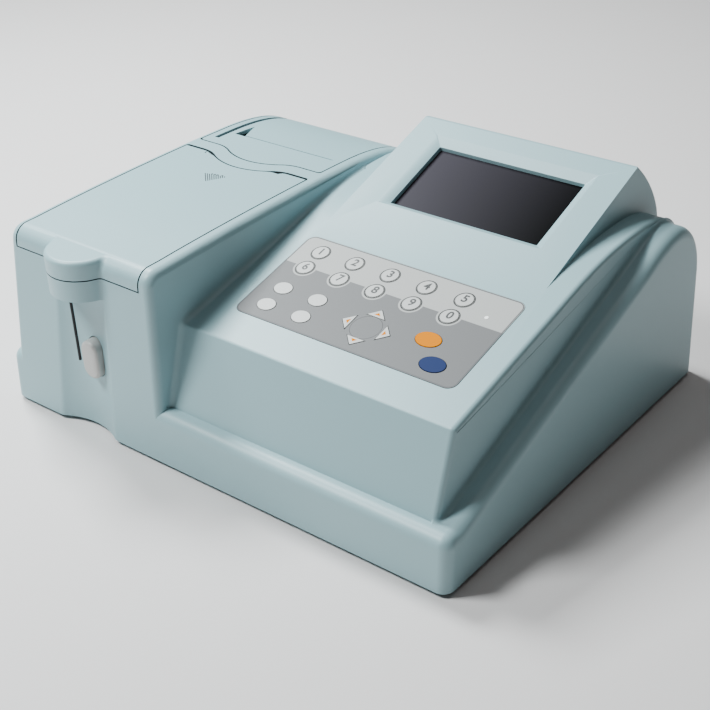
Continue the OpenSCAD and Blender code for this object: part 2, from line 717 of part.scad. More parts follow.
// Mains inlet and power switch in one moulding.
module mains_inlet() in_case() color("#26282a") {
    socket = [24, 16.4];
    socket_x = inlet_x - 8.5;
    difference() {
        union() {
            block([inlet_x - inlet_w / 2, panel_y - inlet_deep, inlet_z - inlet_h / 2],
                  [inlet_x + inlet_w / 2, panel_y + eps, inlet_z + inlet_h / 2]);
            block([inlet_x - inlet_w / 2 - 3, panel_y, inlet_z - inlet_h / 2 - 2],
                  [inlet_x + inlet_w / 2 + 3, panel_y + 2, inlet_z + inlet_h / 2 + 2]);
        }
        block([socket_x - socket[0] / 2, panel_y - 15, inlet_z - socket[1] / 2],
              [socket_x + socket[0] / 2, panel_y + 3, inlet_z + socket[1] / 2]);
        block([switch_x - rocker_w / 2 - seam, panel_y - 12, inlet_z - 11.6],
              [switch_x + rocker_w / 2 + seam, panel_y + 3, inlet_z + 11.6]);
        bar_x([switch_x - rocker_w / 2 - 1.2, rocker_y, inlet_z], rocker_pin_r + run_fit, rocker_w + 2.4);
    }
    // Contact blades of the inlet: two outer and one earth, which stands higher.
    for (p = [[-7, -1.6], [0, 2.4], [7, -1.6]])
        block([socket_x + p[0] - 1, panel_y - 15 - eps, inlet_z + p[1] - 2],
              [socket_x + p[0] + 1, panel_y - 1, inlet_z + p[1] + 2]);
}

module power_rocker() in_case() color("#161718") {
    translate([switch_x - rocker_w / 2, rocker_y, inlet_z]) rotate([rocker_tilt, 0, 0])
        rotate([90, 0, 90]) linear_extrude(rocker_w)
        polygon([[-6, -4], [-2, -9], [5.8, -10.2], [4.4, 0], [5.8, 10.2], [-2, 9], [-6, 4]]);
    bar_x([switch_x - rocker_w / 2 - 1, rocker_y, inlet_z], rocker_pin_r, rocker_w + 2);
}

module serial_socket() in_case() color("#b9bcbd") {
    block([serial_x - 15.4, panel_y, inlet_z - 6.2], [serial_x + 15.4, panel_y + 0.8, inlet_z + 6.2]);
    block([serial_x - 9.6, panel_y - 12, inlet_z - 5.4], [serial_x + 9.6, panel_y + eps, inlet_z + 5.4]);
    difference() {
        front_prism(panel_y + 0.7, panel_y + 5.6,
            [[serial_x - 7.6, inlet_z - 4.2], [serial_x + 7.6, inlet_z - 4.2],
             [serial_x + 8.8, inlet_z + 4.2], [serial_x - 8.8, inlet_z + 4.2]]);
        front_prism(panel_y + 2, panel_y + 7,
            [[serial_x - 6.9, inlet_z - 3.5], [serial_x + 6.9, inlet_z - 3.5],
             [serial_x + 7.9, inlet_z + 3.5], [serial_x - 7.9, inlet_z + 3.5]]);
    }
    for (x = [-12.5, 12.5]) bar_y([serial_x + x, panel_y + 0.7, inlet_z], 2.4, 4);
}

module fan_frame() in_case() color("#1e2022") {
    back = panel_in - fan_t;
    difference() {
        block([fan_x - fan_size / 2, back, fan_z - fan_size / 2],
              [fan_x + fan_size / 2, panel_in, fan_z + fan_size / 2]);
        bar_y([fan_x, back - 1, fan_z], fan_size / 2 - 1.2, fan_t + 2);
    }
    bar_y([fan_x, back, fan_z], fan_hub_r, 1.4);
    for (a = [30, 150, 270]) translate([fan_x, back + 0.7, fan_z]) rotate([0, a, 0])
        translate([fan_size / 4, 0, 0]) cube([fan_size / 2 - 1, 1.4, 2.4], center = true);
    bar_y([fan_x, back, fan_z], fan_pin_r, fan_t - 2);
}

module fan_rotor() in_case() color("#2c2f31") {
    back = panel_in - fan_t + 1.8;
    difference() {
        union() {
            bar_y([fan_x, back, fan_z], fan_hub_r, 7);
            for (i = [0:6]) translate([fan_x, back + 3.5, fan_z]) rotate([0, i * 360 / 7, 0])
                translate([(fan_hub_r + fan_size / 2 - 2.6) / 2, 0, 0]) rotate([38, 0, 0])
                cube([fan_size / 2 - fan_hub_r - 1.6, 1.2, 8], center = true);
        }
        bar_y([fan_x, back - 1, fan_z], fan_pin_r + run_fit, 7.4);
    }
}

// ---- boards

// A board with its stand-offs, from its lower left corner to its upper right one.
module board(a, b) {
    block([a[0], a[1], board_z], [b[0], b[1], board_z + board_t]);
    for (x = [a[0] + 5, b[0] - 5], y = [a[1] + 5, b[1] - 5])
        bar_z([x, y, plate_top], 3, standoff_h + eps);
}

module power_supply() in_case() color("#b59a4a") {
    x = supply_x;
    y = supply_y;
    top = board_z + board_t - eps;
    board([x, y], [x + supply_w, y + supply_d]);
    block([x + 8, y + 12, top], [x + 40, y + 42, top + 26]);
    for (i = [0:1]) bar_z([x + 56 + 18 * i, y + 22, top], 8, 30);
    block([x + 88, y + 10, top], [x + 114, y + 34, top + 20]);
    block([x + 10, y + 50, top], [x + 70, y + 54, top + 24]);
}

module main_board() in_case() color("#2f6b45") {
    x = main_board_x;
    y = main_board_y;
    top = board_z + board_t - eps;
    board([x, y], [x + main_board_w, y + main_board_d]);
    block([x + 50, y + 50, top], [x + 74, y + 74, top + 2.2]);
    for (i = [0:2]) block([x + 20 + 34 * i, y + 88, top], [x + 44 + 34 * i, y + 98, top + 4]);
    block([x + 6, y + 20, top], [x + 12, y + 80, top + 9]);
    block([x + 90, y + 20, top], [x + 124, y + 30, top + 9]);
}

module key_board() in_case() color("#2f6b45") on_deck() {
    n = key_board_n;
    x0 = keypad_x - 3;
    x1 = keypad_x + keypad_w + 3;
    block([x0, keypad_s + 5, n - board_t], [x1, keypad_s + keypad_h - 5, n]);
    for (x = [x0 + 4, x1 - 4], s = [keypad_s + 12, keypad_s + keypad_h - 12])
        bar_z([x, s, n - eps], 3, -wall - n + eps);
}

module display_window() in_case() color("#3a3638") on_bezel()
    block([screen_x - 2, screen_s - 2, -screen_sink - 1.5],
          [screen_x + screen_w + 2, screen_s + screen_h + 2, -screen_sink]);

module display_module() in_case() color("#7c8488") on_bezel() {
    n = -screen_sink - 1.5 - rest_gap;
    block([screen_x - 5, screen_s - 6, n - 5], [screen_x + screen_w + 5, screen_s + screen_h + 6, n]);
    block([screen_x - 7, screen_s - 8, n - 5 - board_t],
          [screen_x + screen_w + 7, screen_s + screen_h + 8, n - 5 + eps]);
}

// ---- sample bay

// The lid's top plate and front lip, which end at the hinge's axis.
module lid_shell() difference() {
    intersection() {
        side_prism(lid_x, lid_right, tower_pts);
        translate([0, 0, lid_seam_z + seam]) linear_extrude(60) lid_plan(-seam);
    }
    block([0, lid_hinge[0], lid_seam_z], [far, far, far]);
    side_prism(0, tower_w, inset(tower_pts, lid_t));
}

// The round bead along the lid's rear edge, which takes the hinge pins.
module lid_knuckle() intersection() {
    bar_x([lid_x + seam, lid_hinge[0], lid_hinge[1]], knuckle_r, lid_w - 2 * seam);
    translate([0, 0, lid_seam_z]) linear_extrude(60) lid_plan(-seam);
}

// How far the housing's edge along the arch stands before the hinge, u beside the middle.
function arch_reach(u) = lid_hinge[0] - lid_arch_y + sqrt(lid_arch_r ^ 2 - u ^ 2);

// Room about the hinge's axis in which the lid turns past the housing's arched edge.
module arch_room() {
    half = lid_arch_half + seam;
    top = crown_z - lid_hinge[1] + swing_gap;
    translate([lid_mid, lid_hinge[0], lid_hinge[1]]) rotate([0, 90, 0]) rotate_extrude()
        polygon(concat([[0, -half]],
                       [for (i = [-12:12]) [norm([arch_reach(half * i / 12), top]) + seam,
                                            half * i / 12]],
                       [[0, half]]));
}

module lid() in_case() color("#c3d5d8") difference() {
    union() {
        lid_shell();
        lid_knuckle();
        difference() {
            bar_z([lid_mid, nose_y, lid_seam_z + seam], nose_r, nose_top_z - lid_seam_z - seam);
            side_prism(0, tower_w, inset(tower_pts, lid_t));
        }
    }
    bar_z([lid_mid, nose_y, lid_seam_z], nose_r - wall, nose_top_z - lid_seam_z - lid_t);
    arch_room();
    for (x = [lid_x, lid_right - 7.4]) bar_x([x, lid_hinge[0], lid_hinge[1]], lid_pin_r, 7.4);
}

module lid_hinge_pins() in_case() color("#8d9295")
    for (x = [lid_x - 3, lid_right - 7]) bar_x([x, lid_hinge[0], lid_hinge[1]], lid_pin_r, 10);

module sample_tub() in_case() color("#3b4144") difference() {
    block([tub_x0, tub_y0, tub_floor - tub_t], [tub_x1, tub_y1, tub_rim]);
    block([tub_x0 + tub_t, tub_y0 + tub_t, tub_floor], [tub_x1 - tub_t, tub_y1 - tub_t, tub_rim + 1]);
    block([lid_mid - 18, tub_y0 - 1, nose_floor_z + wall], [lid_mid + 18, tub_y0 + tub_t + 1, tub_rim + 1]);
    bar_x([tub_x1 - tub_t - 1, beam_y, beam_z], filter_r, tub_t + 2);
    bar_z([pump_x, pump_y, tub_floor - tub_t - 1], pump_shaft_r + 1, tub_t + 2);
    bar_z([tub_x1 - 9, pump_y + 30, tub_floor - tub_t - 1], pump_tube_r + 0.5, tub_t + 2);
}

module cell_block() in_case() color("#33373a") difference() {
    block([cell_x - block_w / 2, beam_y - block_w / 2, tub_floor],
          [cell_x + block_w / 2, beam_y + block_w / 2, beam_z + 18]);
    block([cell_x - cell_w / 2 - 0.2, beam_y - cell_w / 2 - 0.2, tub_floor + 2],
          [cell_x + cell_w / 2 + 0.2, beam_y + cell_w / 2 + 0.2, beam_z + 19]);
    bar_x([cell_x - block_w / 2 - 1, beam_y, beam_z], 3, block_w + 2);
}

module flow_cell() in_case() color("#cfe3ea") {
    block([cell_x - cell_w / 2, beam_y - cell_w / 2, tub_floor + 2],
          [cell_x + cell_w / 2, beam_y + cell_w / 2, beam_z + 20]);
    for (y = [-3, 3]) bar_z([cell_x, beam_y + y, beam_z + 20 - eps], 2.2, 3);
}

module lamp_housing() in_case() color("#9ba1a4") difference() {
    fin_pitch = 5.4;
    block([lamp_x, beam_y - 12, tub_floor], [lamp_x + 24, beam_y + 12, beam_z + 14]);
    bar_x([lamp_x + 6, beam_y, beam_z], 7, 20);
    for (x = [3 : fin_pitch : 20]) block([lamp_x + x, beam_y - 13, beam_z + 9],
                                         [lamp_x + x + fin_pitch / 2, beam_y + 13, beam_z + 15]);
}

module lamp() in_case() color("#f2ead2") {
    cap_x = lamp_x + 6;
    cap_l = 5;
    neck_l = 3;
    bulb_r = 4.9;
    bar_x([cap_x, beam_y, beam_z], 6.8, cap_l);
    bar_x([cap_x + cap_l - eps, beam_y, beam_z], 3.6, neck_l);
    translate([cap_x + cap_l + neck_l + 3.2, beam_y, beam_z]) sphere(bulb_r);
}

module filter_wheel() in_case() color("#44494c") difference() {
    union() {
        bar_x([wheel_x, beam_y, wheel_z], wheel_r, 3);
        bar_x([wheel_x - 2, beam_y, wheel_z], 6, 8);
    }
    bar_x([wheel_x - 3, beam_y, wheel_z], filter_shaft_r + run_fit, 12);
    for (i = [0:filter_count - 1]) translate([wheel_x - 1, beam_y, wheel_z])
        rotate([i * 360 / filter_count, 0, 0]) bar_x([0, 0, filter_pitch_r], filter_r, 5);
}

module optical_filters() in_case() color("#8fb7d6")
    for (i = [0:filter_count - 1]) translate([wheel_x + 0.3, beam_y, wheel_z])
        rotate([i * 360 / filter_count, 0, 0]) bar_x([0, 0, filter_pitch_r], filter_r, 2.4);

module filter_motor() in_case() color("#5a5f62") {
    x = bracket_x + sheet_t;
    block([x, beam_y - motor_w / 2, wheel_z - motor_w / 2],
          [x + 24, beam_y + motor_w / 2, wheel_z + motor_w / 2]);
    bar_x([bracket_x, beam_y, wheel_z], 8, sheet_t + eps);
    bar_x([wheel_x - 2, beam_y, wheel_z], filter_shaft_r, bracket_x - wheel_x + 3);
}

module optics_bracket() in_case() color("#a7adb0") difference() {
    union() {
        block([bracket_x, beam_y - 18, plate_top], [bracket_x + sheet_t, beam_y + 18, beam_z + 6]);
        block([bracket_x, beam_y - 18, plate_top], [bracket_x + 26, beam_y + 18, plate_top + sheet_t]);
    }
    bar_x([bracket_x - 1, beam_y, wheel_z], 8.2, sheet_t + 2);
    bar_x([bracket_x - 1, beam_y, beam_z], 4, sheet_t + 2);
}

module detector_board() in_case() color("#2f6b45") {
    x = bracket_x + sheet_t;
    post_l = 8;
    // The board stands between the motor's top and the key board.
    low = wheel_z + motor_w / 2 + 0.6;
    block([x + post_l, beam_y - 12, low], [x + post_l + board_t, beam_y + 12, beam_z + 1.5]);
    bar_x([x + 3, beam_y, beam_z], 3.6, post_l - 3 + eps);
    for (y = [-9, 9]) bar_x([x, beam_y + y, beam_z - 3], 1.5, post_l + eps);
}

// ---- pump, tubing, needle and trigger

module pump_head() in_case() color("#d9dbd8") difference() {
    outer = pump_tube_path_r + pump_tube_r + 0.4;
    union() {
        bar_z([pump_x, pump_y, tub_floor], outer + 3, pump_z - tub_floor - 0.6);
        difference() {
            bar_z([pump_x, pump_y, tub_floor], outer + 3, pump_z + pump_h - tub_floor);
            bar_z([pump_x, pump_y, tub_floor - 1], outer, 60);
            block([pump_x - 40, pump_y + 4, tub_floor - 1], [pump_x + 40, pump_y + 40, 200]);
        }
    }
    bar_z([pump_x, pump_y, tub_floor - 1], pump_shaft_r + 1, 10);
}

module pump_rotor() in_case() color("#e8e9e6") difference() {
    roller_r = 4;
    path_r = pump_tube_path_r - pump_tube_r - 0.4 - roller_r;
    union() {
        bar_z([pump_x, pump_y, pump_z], 6.5, pump_h - 1);
        for (i = [0:roller_count - 1]) translate([pump_x, pump_y, pump_z])
            rotate([0, 0, 30 + i * 360 / roller_count]) bar_z([path_r, 0, 0], roller_r, pump_h - 2);
    }
    bar_z([pump_x, pump_y, pump_z - 1], pump_shaft_r + run_fit, pump_h - 2);
}

module pump_motor() in_case() color("#5a5f62") {
    top = tub_floor - tub_t;
    bar_z([pump_x, pump_y, top - 42], 12.5, 42);
    bar_z([pump_x, pump_y, top - eps], pump_shaft_r, pump_z + pump_h - 4 - top);
}

// Runs from the flow cell round the pump's rollers and down through the tub's floor.
module pump_tube() in_case() color("#e6ded0") {
    z = pump_z + 7;
    r = pump_tube_path_r;
    around = [for (a = [0:20:180]) [pump_x - r * cos(a), pump_y - r * sin(a), z]];
    lead = [[cell_x, beam_y + 3, beam_z + 23], [cell_x + 1, beam_y + 1, beam_z + 28],
            [pump_x - r + 4, beam_y - 12, beam_z + 26], [pump_x - r, pump_y + 22, z + 8],
            [pump_x - r, pump_y + 9, z + 1]];
    tail = [[pump_x + r, pump_y + 9, z], [pump_x + r + 0.5, pump_y + 20, z - 1],
            [tub_x1 - 9, pump_y + 28, z - 6], [tub_x1 - 9, pump_y + 30, tub_floor - 1],
            [tub_x1 - 9, pump_y + 30, tub_floor - 14]];
    tube_along(smooth_path(concat(lead, around, tail), 3), pump_tube_r);
}

module needle() in_case() color("#2a2c2e") {
    bar_z([needle_x, needle_y, needle_tip_z], needle_r, nose_floor_z + wall + 6 - needle_tip_z);
    bar_z([needle_x, needle_y, nose_floor_z + wall], needle_hub_r, needle_hub_h);
}

// Runs from the needle's top over the edge of the tub to the flow cell.
module sample_tube() in_case() color("#e6ded0") {
    z = nose_floor_z + wall + 6;
    tube_along(smooth_path([[needle_x, needle_y, z], [needle_x, needle_y, z + 3],
                            [needle_x - 0.5, needle_y + 4, z + 7], [needle_x - 1, needle_y + 14, z + 8],
                            [needle_x - 2, tub_y0 + 20, z + 7], [cell_x + 1, beam_y - 30, z + 5],
                            [cell_x, beam_y - 10, z + 6], [cell_x, beam_y - 3, z + 5],
                            [cell_x, beam_y - 3, beam_z + 23]], 3), 1.1);
}

module trigger_button() in_case() color("#c9c6c2") {
    translate([needle_x, trigger_flange_y + eps, trigger_z]) rotate([90, 0, 0])
        linear_extrude(trigger_flange_y - trigger_face_y) oval(trigger_w, trigger_h);
    translate([needle_x, trigger_flange_y + 2, trigger_z]) rotate([90, 0, 0])
        linear_extrude(2) oval(trigger_w + 4, trigger_h + 4);
    bar_y([needle_x, trigger_flange_y + 2 - eps, trigger_z], 3, trigger_end_y - trigger_flange_y - 2);
}

module trigger_switch() in_case() color("#33373a") {
    y = trigger_end_y + trigger_travel + rest_gap;
    block([needle_x - 10, y, trigger_z - 8], [needle_x + 2, y + 6.4, trigger_z + 8]);
    block([needle_x - 9, y + 1, plate_top], [needle_x + 1, y + 3, trigger_z - 8 + eps]);
    block([needle_x - 9, y + 1, plate_top], [needle_x + 1, y + 14, plate_top + sheet_t]);
}

// ---- printer bay

module printer_cover() in_case() color("#c3d5d8") difference() {
    union() {
        difference() {
            intersection() {
                side_prism(lid_x, lid_right, tower_pts);
                translate([0, 0, 60]) linear_extrude(120) cover_plan(-seam);
                at_cover_hinge() block([-10, -far, 0], [far, far, far]);
            }
            side_prism(0, tower_w, inset(tower_pts, lid_t));
        }
        at_cover_hinge() bar_x([lid_x + seam, 0, 0], knuckle_r, lid_w - 2 * seam);
        at_cover_hinge() bar_x([lid_x - 2.9, 0, 0], cover_pin_r, lid_w + 5.8);
    }
    // Groove along the left side of the paper hood.
    difference() {
        side_prism(lid_x + 7.3, lid_x + 8.9, inset(tower_pts, -1));
        side_prism(lid_x, lid_x + 20, inset(tower_pts, 1));
        block([0, 0, 0], [far, slot_y - 13, far]);
        block([0, case_d - 24, 0], [far, far, far]);
    }
    block([slot_x, slot_y, 100], [slot_x + slot_len, slot_y + 1, 160]);
    // Finger notch at the slot's left end.
    translate([0, 0, 100]) linear_extrude(60)
        polygon([[lid_x + 14.1, slot_y - 0.5], [lid_x + 23.5, slot_y], [lid_x + 15.7, slot_y + 19]]);
}

module printer_frame() in_case() color("#4a4f52") {
    y0 = cover_front_y + 7;
    y1 = case_d - 18;
    for (x = [printer_x0, printer_x1 - 2]) difference() {
        side_prism(x, x + 2, [[y0, printer_z0], [y1, printer_z0], [y1, 94], [roll_y + 14, 106],
                              [platen_y + 8, tower_h - 7], [y0, tower_h - 7]]);
        bar_x([x - 1, platen_y, platen_z], platen_shaft_r + run_fit, 4);
    }
    block([printer_x0, y0, printer_z0 - 2], [printer_x1, y1, printer_z0 + eps]);
    block([printer_x0 + 1, y0, platen_z - 10], [printer_x1 - 1, platen_y - platen_r - 1.5, platen_z + 4]);
    bar_x([printer_x0 + 1, roll_y, roll_z], spindle_r, printer_x1 - printer_x0 - 2);
    for (x = [printer_x0 + 4, printer_x1 - 10], y = [y0 + 4, y1 - 10])
        block([x, y, plate_top], [x + 6, y + 6, printer_z0 - 2 + eps]);
}

module paper_roll() in_case() color("#f4f3ee") difference() {
    bar_x([lid_mid - paper_w / 2, roll_y, roll_z], roll_r, paper_w);
    bar_x([lid_mid - paper_w / 2 - 1, roll_y, roll_z], spindle_r + run_fit, paper_w + 2);
}

module platen_roller() in_case() color("#26282a") {
    bar_x([printer_x0 + 3, platen_y, platen_z], platen_r, printer_x1 - printer_x0 - 6);
    bar_x([printer_x0 - 1, platen_y, platen_z], platen_shaft_r, printer_x1 - printer_x0 + 2);
}

// ---- keypad

function digit_xy(d) = d == 0 ? [key_x0 + 4 * key_pitch_x, key_s1 - key_pitch_y]
    : [key_x0 + ((d - 1) % 5) * key_pitch_x, key_s1 - (d > 5 ? key_pitch_y : 0)];

// The outline of an arrow key that points up the deck, grown by c.
module arrow_shape(c) polygon([[0, c * sqrt(2)], [-arrow_leg - c * (1 + sqrt(2)), -arrow_leg - c],
                               [arrow_leg + c * (1 + sqrt(2)), -arrow_leg - c]]);
module arrow_place(i) translate([arrow_c[0] - sin(90 * i) * arrow_reach[0],
                                 arrow_c[1] + cos(90 * i) * arrow_reach[1]])
    rotate(90 * i) children();

module keypad_panel() in_case() color("#c2c3c1") on_deck()
    translate([0, 0, -keypad_sink]) linear_extrude(keypad_sink + keypad_proud) difference() {
        translate([keypad_x, keypad_s]) rounded_plate(keypad_w, keypad_h, keypad_r);
        for (d = [0:9]) translate(digit_xy(d)) circle(key_d / 2 + seam);
        for (p = function_xy) translate(p) oval(function_l + 2 * seam, function_d + 2 * seam);
        for (p = [stop_xy, enter_xy]) translate(p) oval(oval_w + 2 * seam, oval_h + 2 * seam);
        for (i = [0:3]) arrow_place(i) arrow_shape(seam);
    }

// A key in the deck's frame: its cap, the flange that holds it in and its stem.
// Its first child is the cap's outline and its second child the flange's.
module key(xy) in_case() on_deck() {
    flange_n = -keypad_sink - rest_gap;
    translate([xy[0], xy[1], flange_n - 1])
        linear_extrude(1 - flange_n + keypad_proud + key_proud) children(0);
    translate([xy[0], xy[1], flange_n - 1.6]) linear_extrude(1.6) children(1);
    bar_z([xy[0], xy[1], key_board_n + key_travel + 0.05], 1.6, flange_n - 1.6 - key_board_n - key_travel);
}

module digit_key(d) color("#e4e5e2") key(digit_xy(d)) {
    circle(key_d / 2);
    circle(key_d / 2 + 1);
}
module function_key(i) color("#dcdedb") key(function_xy[i]) {
    oval(function_l, function_d);
    oval(function_l + 2, function_d + 2);
}
module oval_key(xy) key(xy) {
    oval(oval_w, oval_h);
    oval(oval_w + 2, oval_h + 2);
}
module arrow_key(i) color("#e4e5e2") in_case() on_deck() arrow_place(i) {
    flange_n = -keypad_sink - rest_gap;
    translate([0, 0, flange_n - 1]) linear_extrude(1 - flange_n + keypad_proud + key_proud) arrow_shape(0);
    translate([0, 0, flange_n - 1.6]) linear_extrude(1.6) arrow_shape(0.8);
    bar_z([0, -arrow_leg * 0.6, key_board_n + key_travel + 0.05], 1.6,
          flange_n - 1.6 - key_board_n - key_travel);
}

housing();
bottom_plate();
rubber_feet();
case_screws();
rear_panel();
mains_inlet();
power_rocker();
serial_socket();
fan_frame();
fan_rotor();
power_supply();
main_board();
key_board();
display_window();
display_module();
lid();
lid_hinge_pins();
sample_tub();
cell_block();
flow_cell();
lamp_housing();
lamp();
filter_wheel();
optical_filters();
filter_motor();
optics_bracket();
detector_board();
pump_head();
pump_rotor();
pump_motor();
pump_tube();
needle();
sample_tube();
trigger_button();
trigger_switch();
printer_cover();
paper_roll();
printer_frame();
platen_roller();
keypad_panel();
for (d = [0:9]) digit_key(d);
for (i = [0:3]) function_key(i);
for (i = [0:3]) arrow_key(i);
color("#dea032") oval_key(stop_xy);  // stop_key
color("#3c4b78") oval_key(enter_xy);  // enter_key
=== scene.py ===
"""Looks of a benchtop chemistry analyzer, built round its packed construction.

The moulded case is one rounded master form, from which the housing, the lid and the
printer cover are cut, so that every edge runs on across the seams.  Each class holds
the sizes of one sub-assembly, builds its pieces and dresses them.
"""

import logging
import math
from contextlib import contextmanager
from dataclasses import dataclass
from enum import Enum
from typing import Callable, Iterable, Iterator, Optional, Sequence

import bmesh
import bpy
from mathutils import Matrix, Vector


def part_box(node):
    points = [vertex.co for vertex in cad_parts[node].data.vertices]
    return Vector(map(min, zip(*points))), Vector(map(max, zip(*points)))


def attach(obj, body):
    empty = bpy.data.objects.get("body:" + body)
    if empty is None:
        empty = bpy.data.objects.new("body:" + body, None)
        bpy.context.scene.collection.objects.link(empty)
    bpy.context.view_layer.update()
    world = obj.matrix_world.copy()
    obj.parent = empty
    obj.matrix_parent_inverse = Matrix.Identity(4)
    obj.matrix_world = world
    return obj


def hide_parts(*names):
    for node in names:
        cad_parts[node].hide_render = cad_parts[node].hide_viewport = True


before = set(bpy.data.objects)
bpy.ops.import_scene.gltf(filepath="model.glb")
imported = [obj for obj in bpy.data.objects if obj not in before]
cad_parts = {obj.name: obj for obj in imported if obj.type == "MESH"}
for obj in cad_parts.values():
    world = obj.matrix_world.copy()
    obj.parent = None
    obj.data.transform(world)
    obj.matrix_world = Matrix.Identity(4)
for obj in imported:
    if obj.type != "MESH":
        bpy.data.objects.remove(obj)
LOG = logging.getLogger("analyzer")

Point = tuple[float, float]
Place = tuple[float, float, float]
Outline = list[Point]
RadiusOf = Callable[[Vector, Vector, float], float]

# The case's front left bottom corner, where its drawing starts, in the shared frame.
CASE_ORIGIN = Vector((-0.180, -0.13985, 0.003))
# Points this close together are taken as one, when edges are picked by their place.
TOUCH = 1e-5
# What keeps two faces from lying in one plane.
HAIR = 0.00004
# What a print or a mark stands above its surface.
PRINT_UP = 0.00003
# The least bend, in degrees, that counts as an edge and not as part of a curve, and the
# least one of an edge between a flat front or top and its sides.
LEAST_BEND = 20
RIM_BEND = 45
# A height below the case and one above it, for cuts that run right through.
BELOW = -0.010
ABOVE = 0.200


# ---- outlines


def tangent(degrees: float) -> float:
    """Tangent of an angle in degrees."""
    return math.tan(math.radians(degrees))


def bezier(controls: Sequence[Point], t: float) -> Point:
    """Point on a cubic curve.

    Args:
        controls: The four control points.
        t: Place along the curve, from 0 to 1.

    Returns:
        The point at t.
    """
    u = 1 - t
    weights = (u * u * u, 3 * u * u * t, 3 * u * t * t, t * t * t)
    return (sum(w * c[0] for w, c in zip(weights, controls)),
            sum(w * c[1] for w, c in zip(weights, controls)))


def curve(controls: Sequence[Point], steps: int, first: int = 0) -> Outline:
    """Points along a cubic curve, from the given one to its end."""
    return [bezier(controls, i / steps) for i in range(first, steps + 1)]


def rounded(a: Point, p: Point, b: Point, radius: float, steps: int = 8) -> Outline:
    """Corner p of an outline between its neighbours a and b, as an arc.

    Args:
        a: The point before the corner.
        p: The corner.
        b: The point after the corner.
        radius: Radius of the arc.
        steps: Number of chords.

    Returns:
        The arc's points, from a's side to b's.
    """
    corner = Vector(p)
    u, v = (Vector(a) - corner).normalized(), (Vector(b) - corner).normalized()
    half = u.angle(v) / 2
    centre = corner + (u + v).normalized() * radius / math.sin(half)
    first = corner + u * radius / math.tan(half) - centre
    last = corner + v * radius / math.tan(half) - centre
    start = math.atan2(first.y, first.x)
    turn = (math.atan2(last.y, last.x) - start + 3 * math.pi) % (2 * math.pi) - math.pi
    return [(centre.x + radius * math.cos(start + turn * i / steps),
             centre.y + radius * math.sin(start + turn * i / steps)) for i in range(steps + 1)]


def inset(outline: Outline, depth: float) -> Outline:
    """The same anticlockwise outline moved inwards by depth.

    Args:
        outline: The outline.
        depth: How far it is moved, less than 0 for outwards.

    Returns:
        The moved outline, with as many points.
    """
    moved = []
    count = len(outline)
    for i, point in enumerate(outline):
        before = (Vector(point) - Vector(outline[i - 1])).normalized()
        after = (Vector(outline[(i + 1) % count]) - Vector(point)).normalized()
        n1, n2 = Vector((-before.y, before.x)), Vector((-after.y, after.x))
        shift = depth * (n1 + n2) / (1 + n1.dot(n2))
        moved.append((point[0] + shift.x, point[1] + shift.y))
    return moved


def oval(width: float, height: float, steps: int = 16) -> Outline:
    """Outline of a flat shape with half-round ends, about its centre.

    Args:
        width: Its width.
        height: Its height.
        steps: Number of chords in each end.

    Returns:
        The outline, anticlockwise.
    """
    radius = min(width, height) / 2
    reach = abs(width - height) / 2
    turn = 0.0 if width >= height else math.pi / 2
    points = []
    for side in (1, -1):
        for i in range(steps + 1):
            angle = math.pi * (i / steps - 0.5) + (0 if side > 0 else math.pi)
            x, y = side * reach + radius * math.cos(angle), radius * math.sin(angle)
            points.append((x * math.cos(turn) - y * math.sin(turn),
                           x * math.sin(turn) + y * math.cos(turn)))
    return points


def ellipse(centre: Point, width: float, height: float, steps: int = 48) -> Outline:
    """Outline of an ellipse."""
    return [(centre[0] + width / 2 * math.cos(2 * math.pi * i / steps),
             centre[1] + height / 2 * math.sin(2 * math.pi * i / steps)) for i in range(steps)]


def circle(centre: Point, radius: float, steps: int = 48) -> Outline:
    """Outline of a circle."""
    return ellipse(centre, 2 * radius, 2 * radius, steps)


def rounded_box(x0: float, y0: float, x1: float, y1: float, radius: float,
                steps: int = 8) -> Outline:
    """Outline of a rectangle with rounded corners.

    Args:
        x0: Left side.
        y0: Lower side.
        x1: Right side.
        y1: Upper side.
        radius: Radius of the corners.
        steps: Number of chords in each corner.

    Returns:
        The outline, anticlockwise.
    """
    corners = [(x0, y0), (x1, y0), (x1, y1), (x0, y1)]
    points = []
    for i, corner in enumerate(corners):
        points += rounded(corners[i - 1], corner, corners[(i + 1) % 4], radius, steps)
    return points


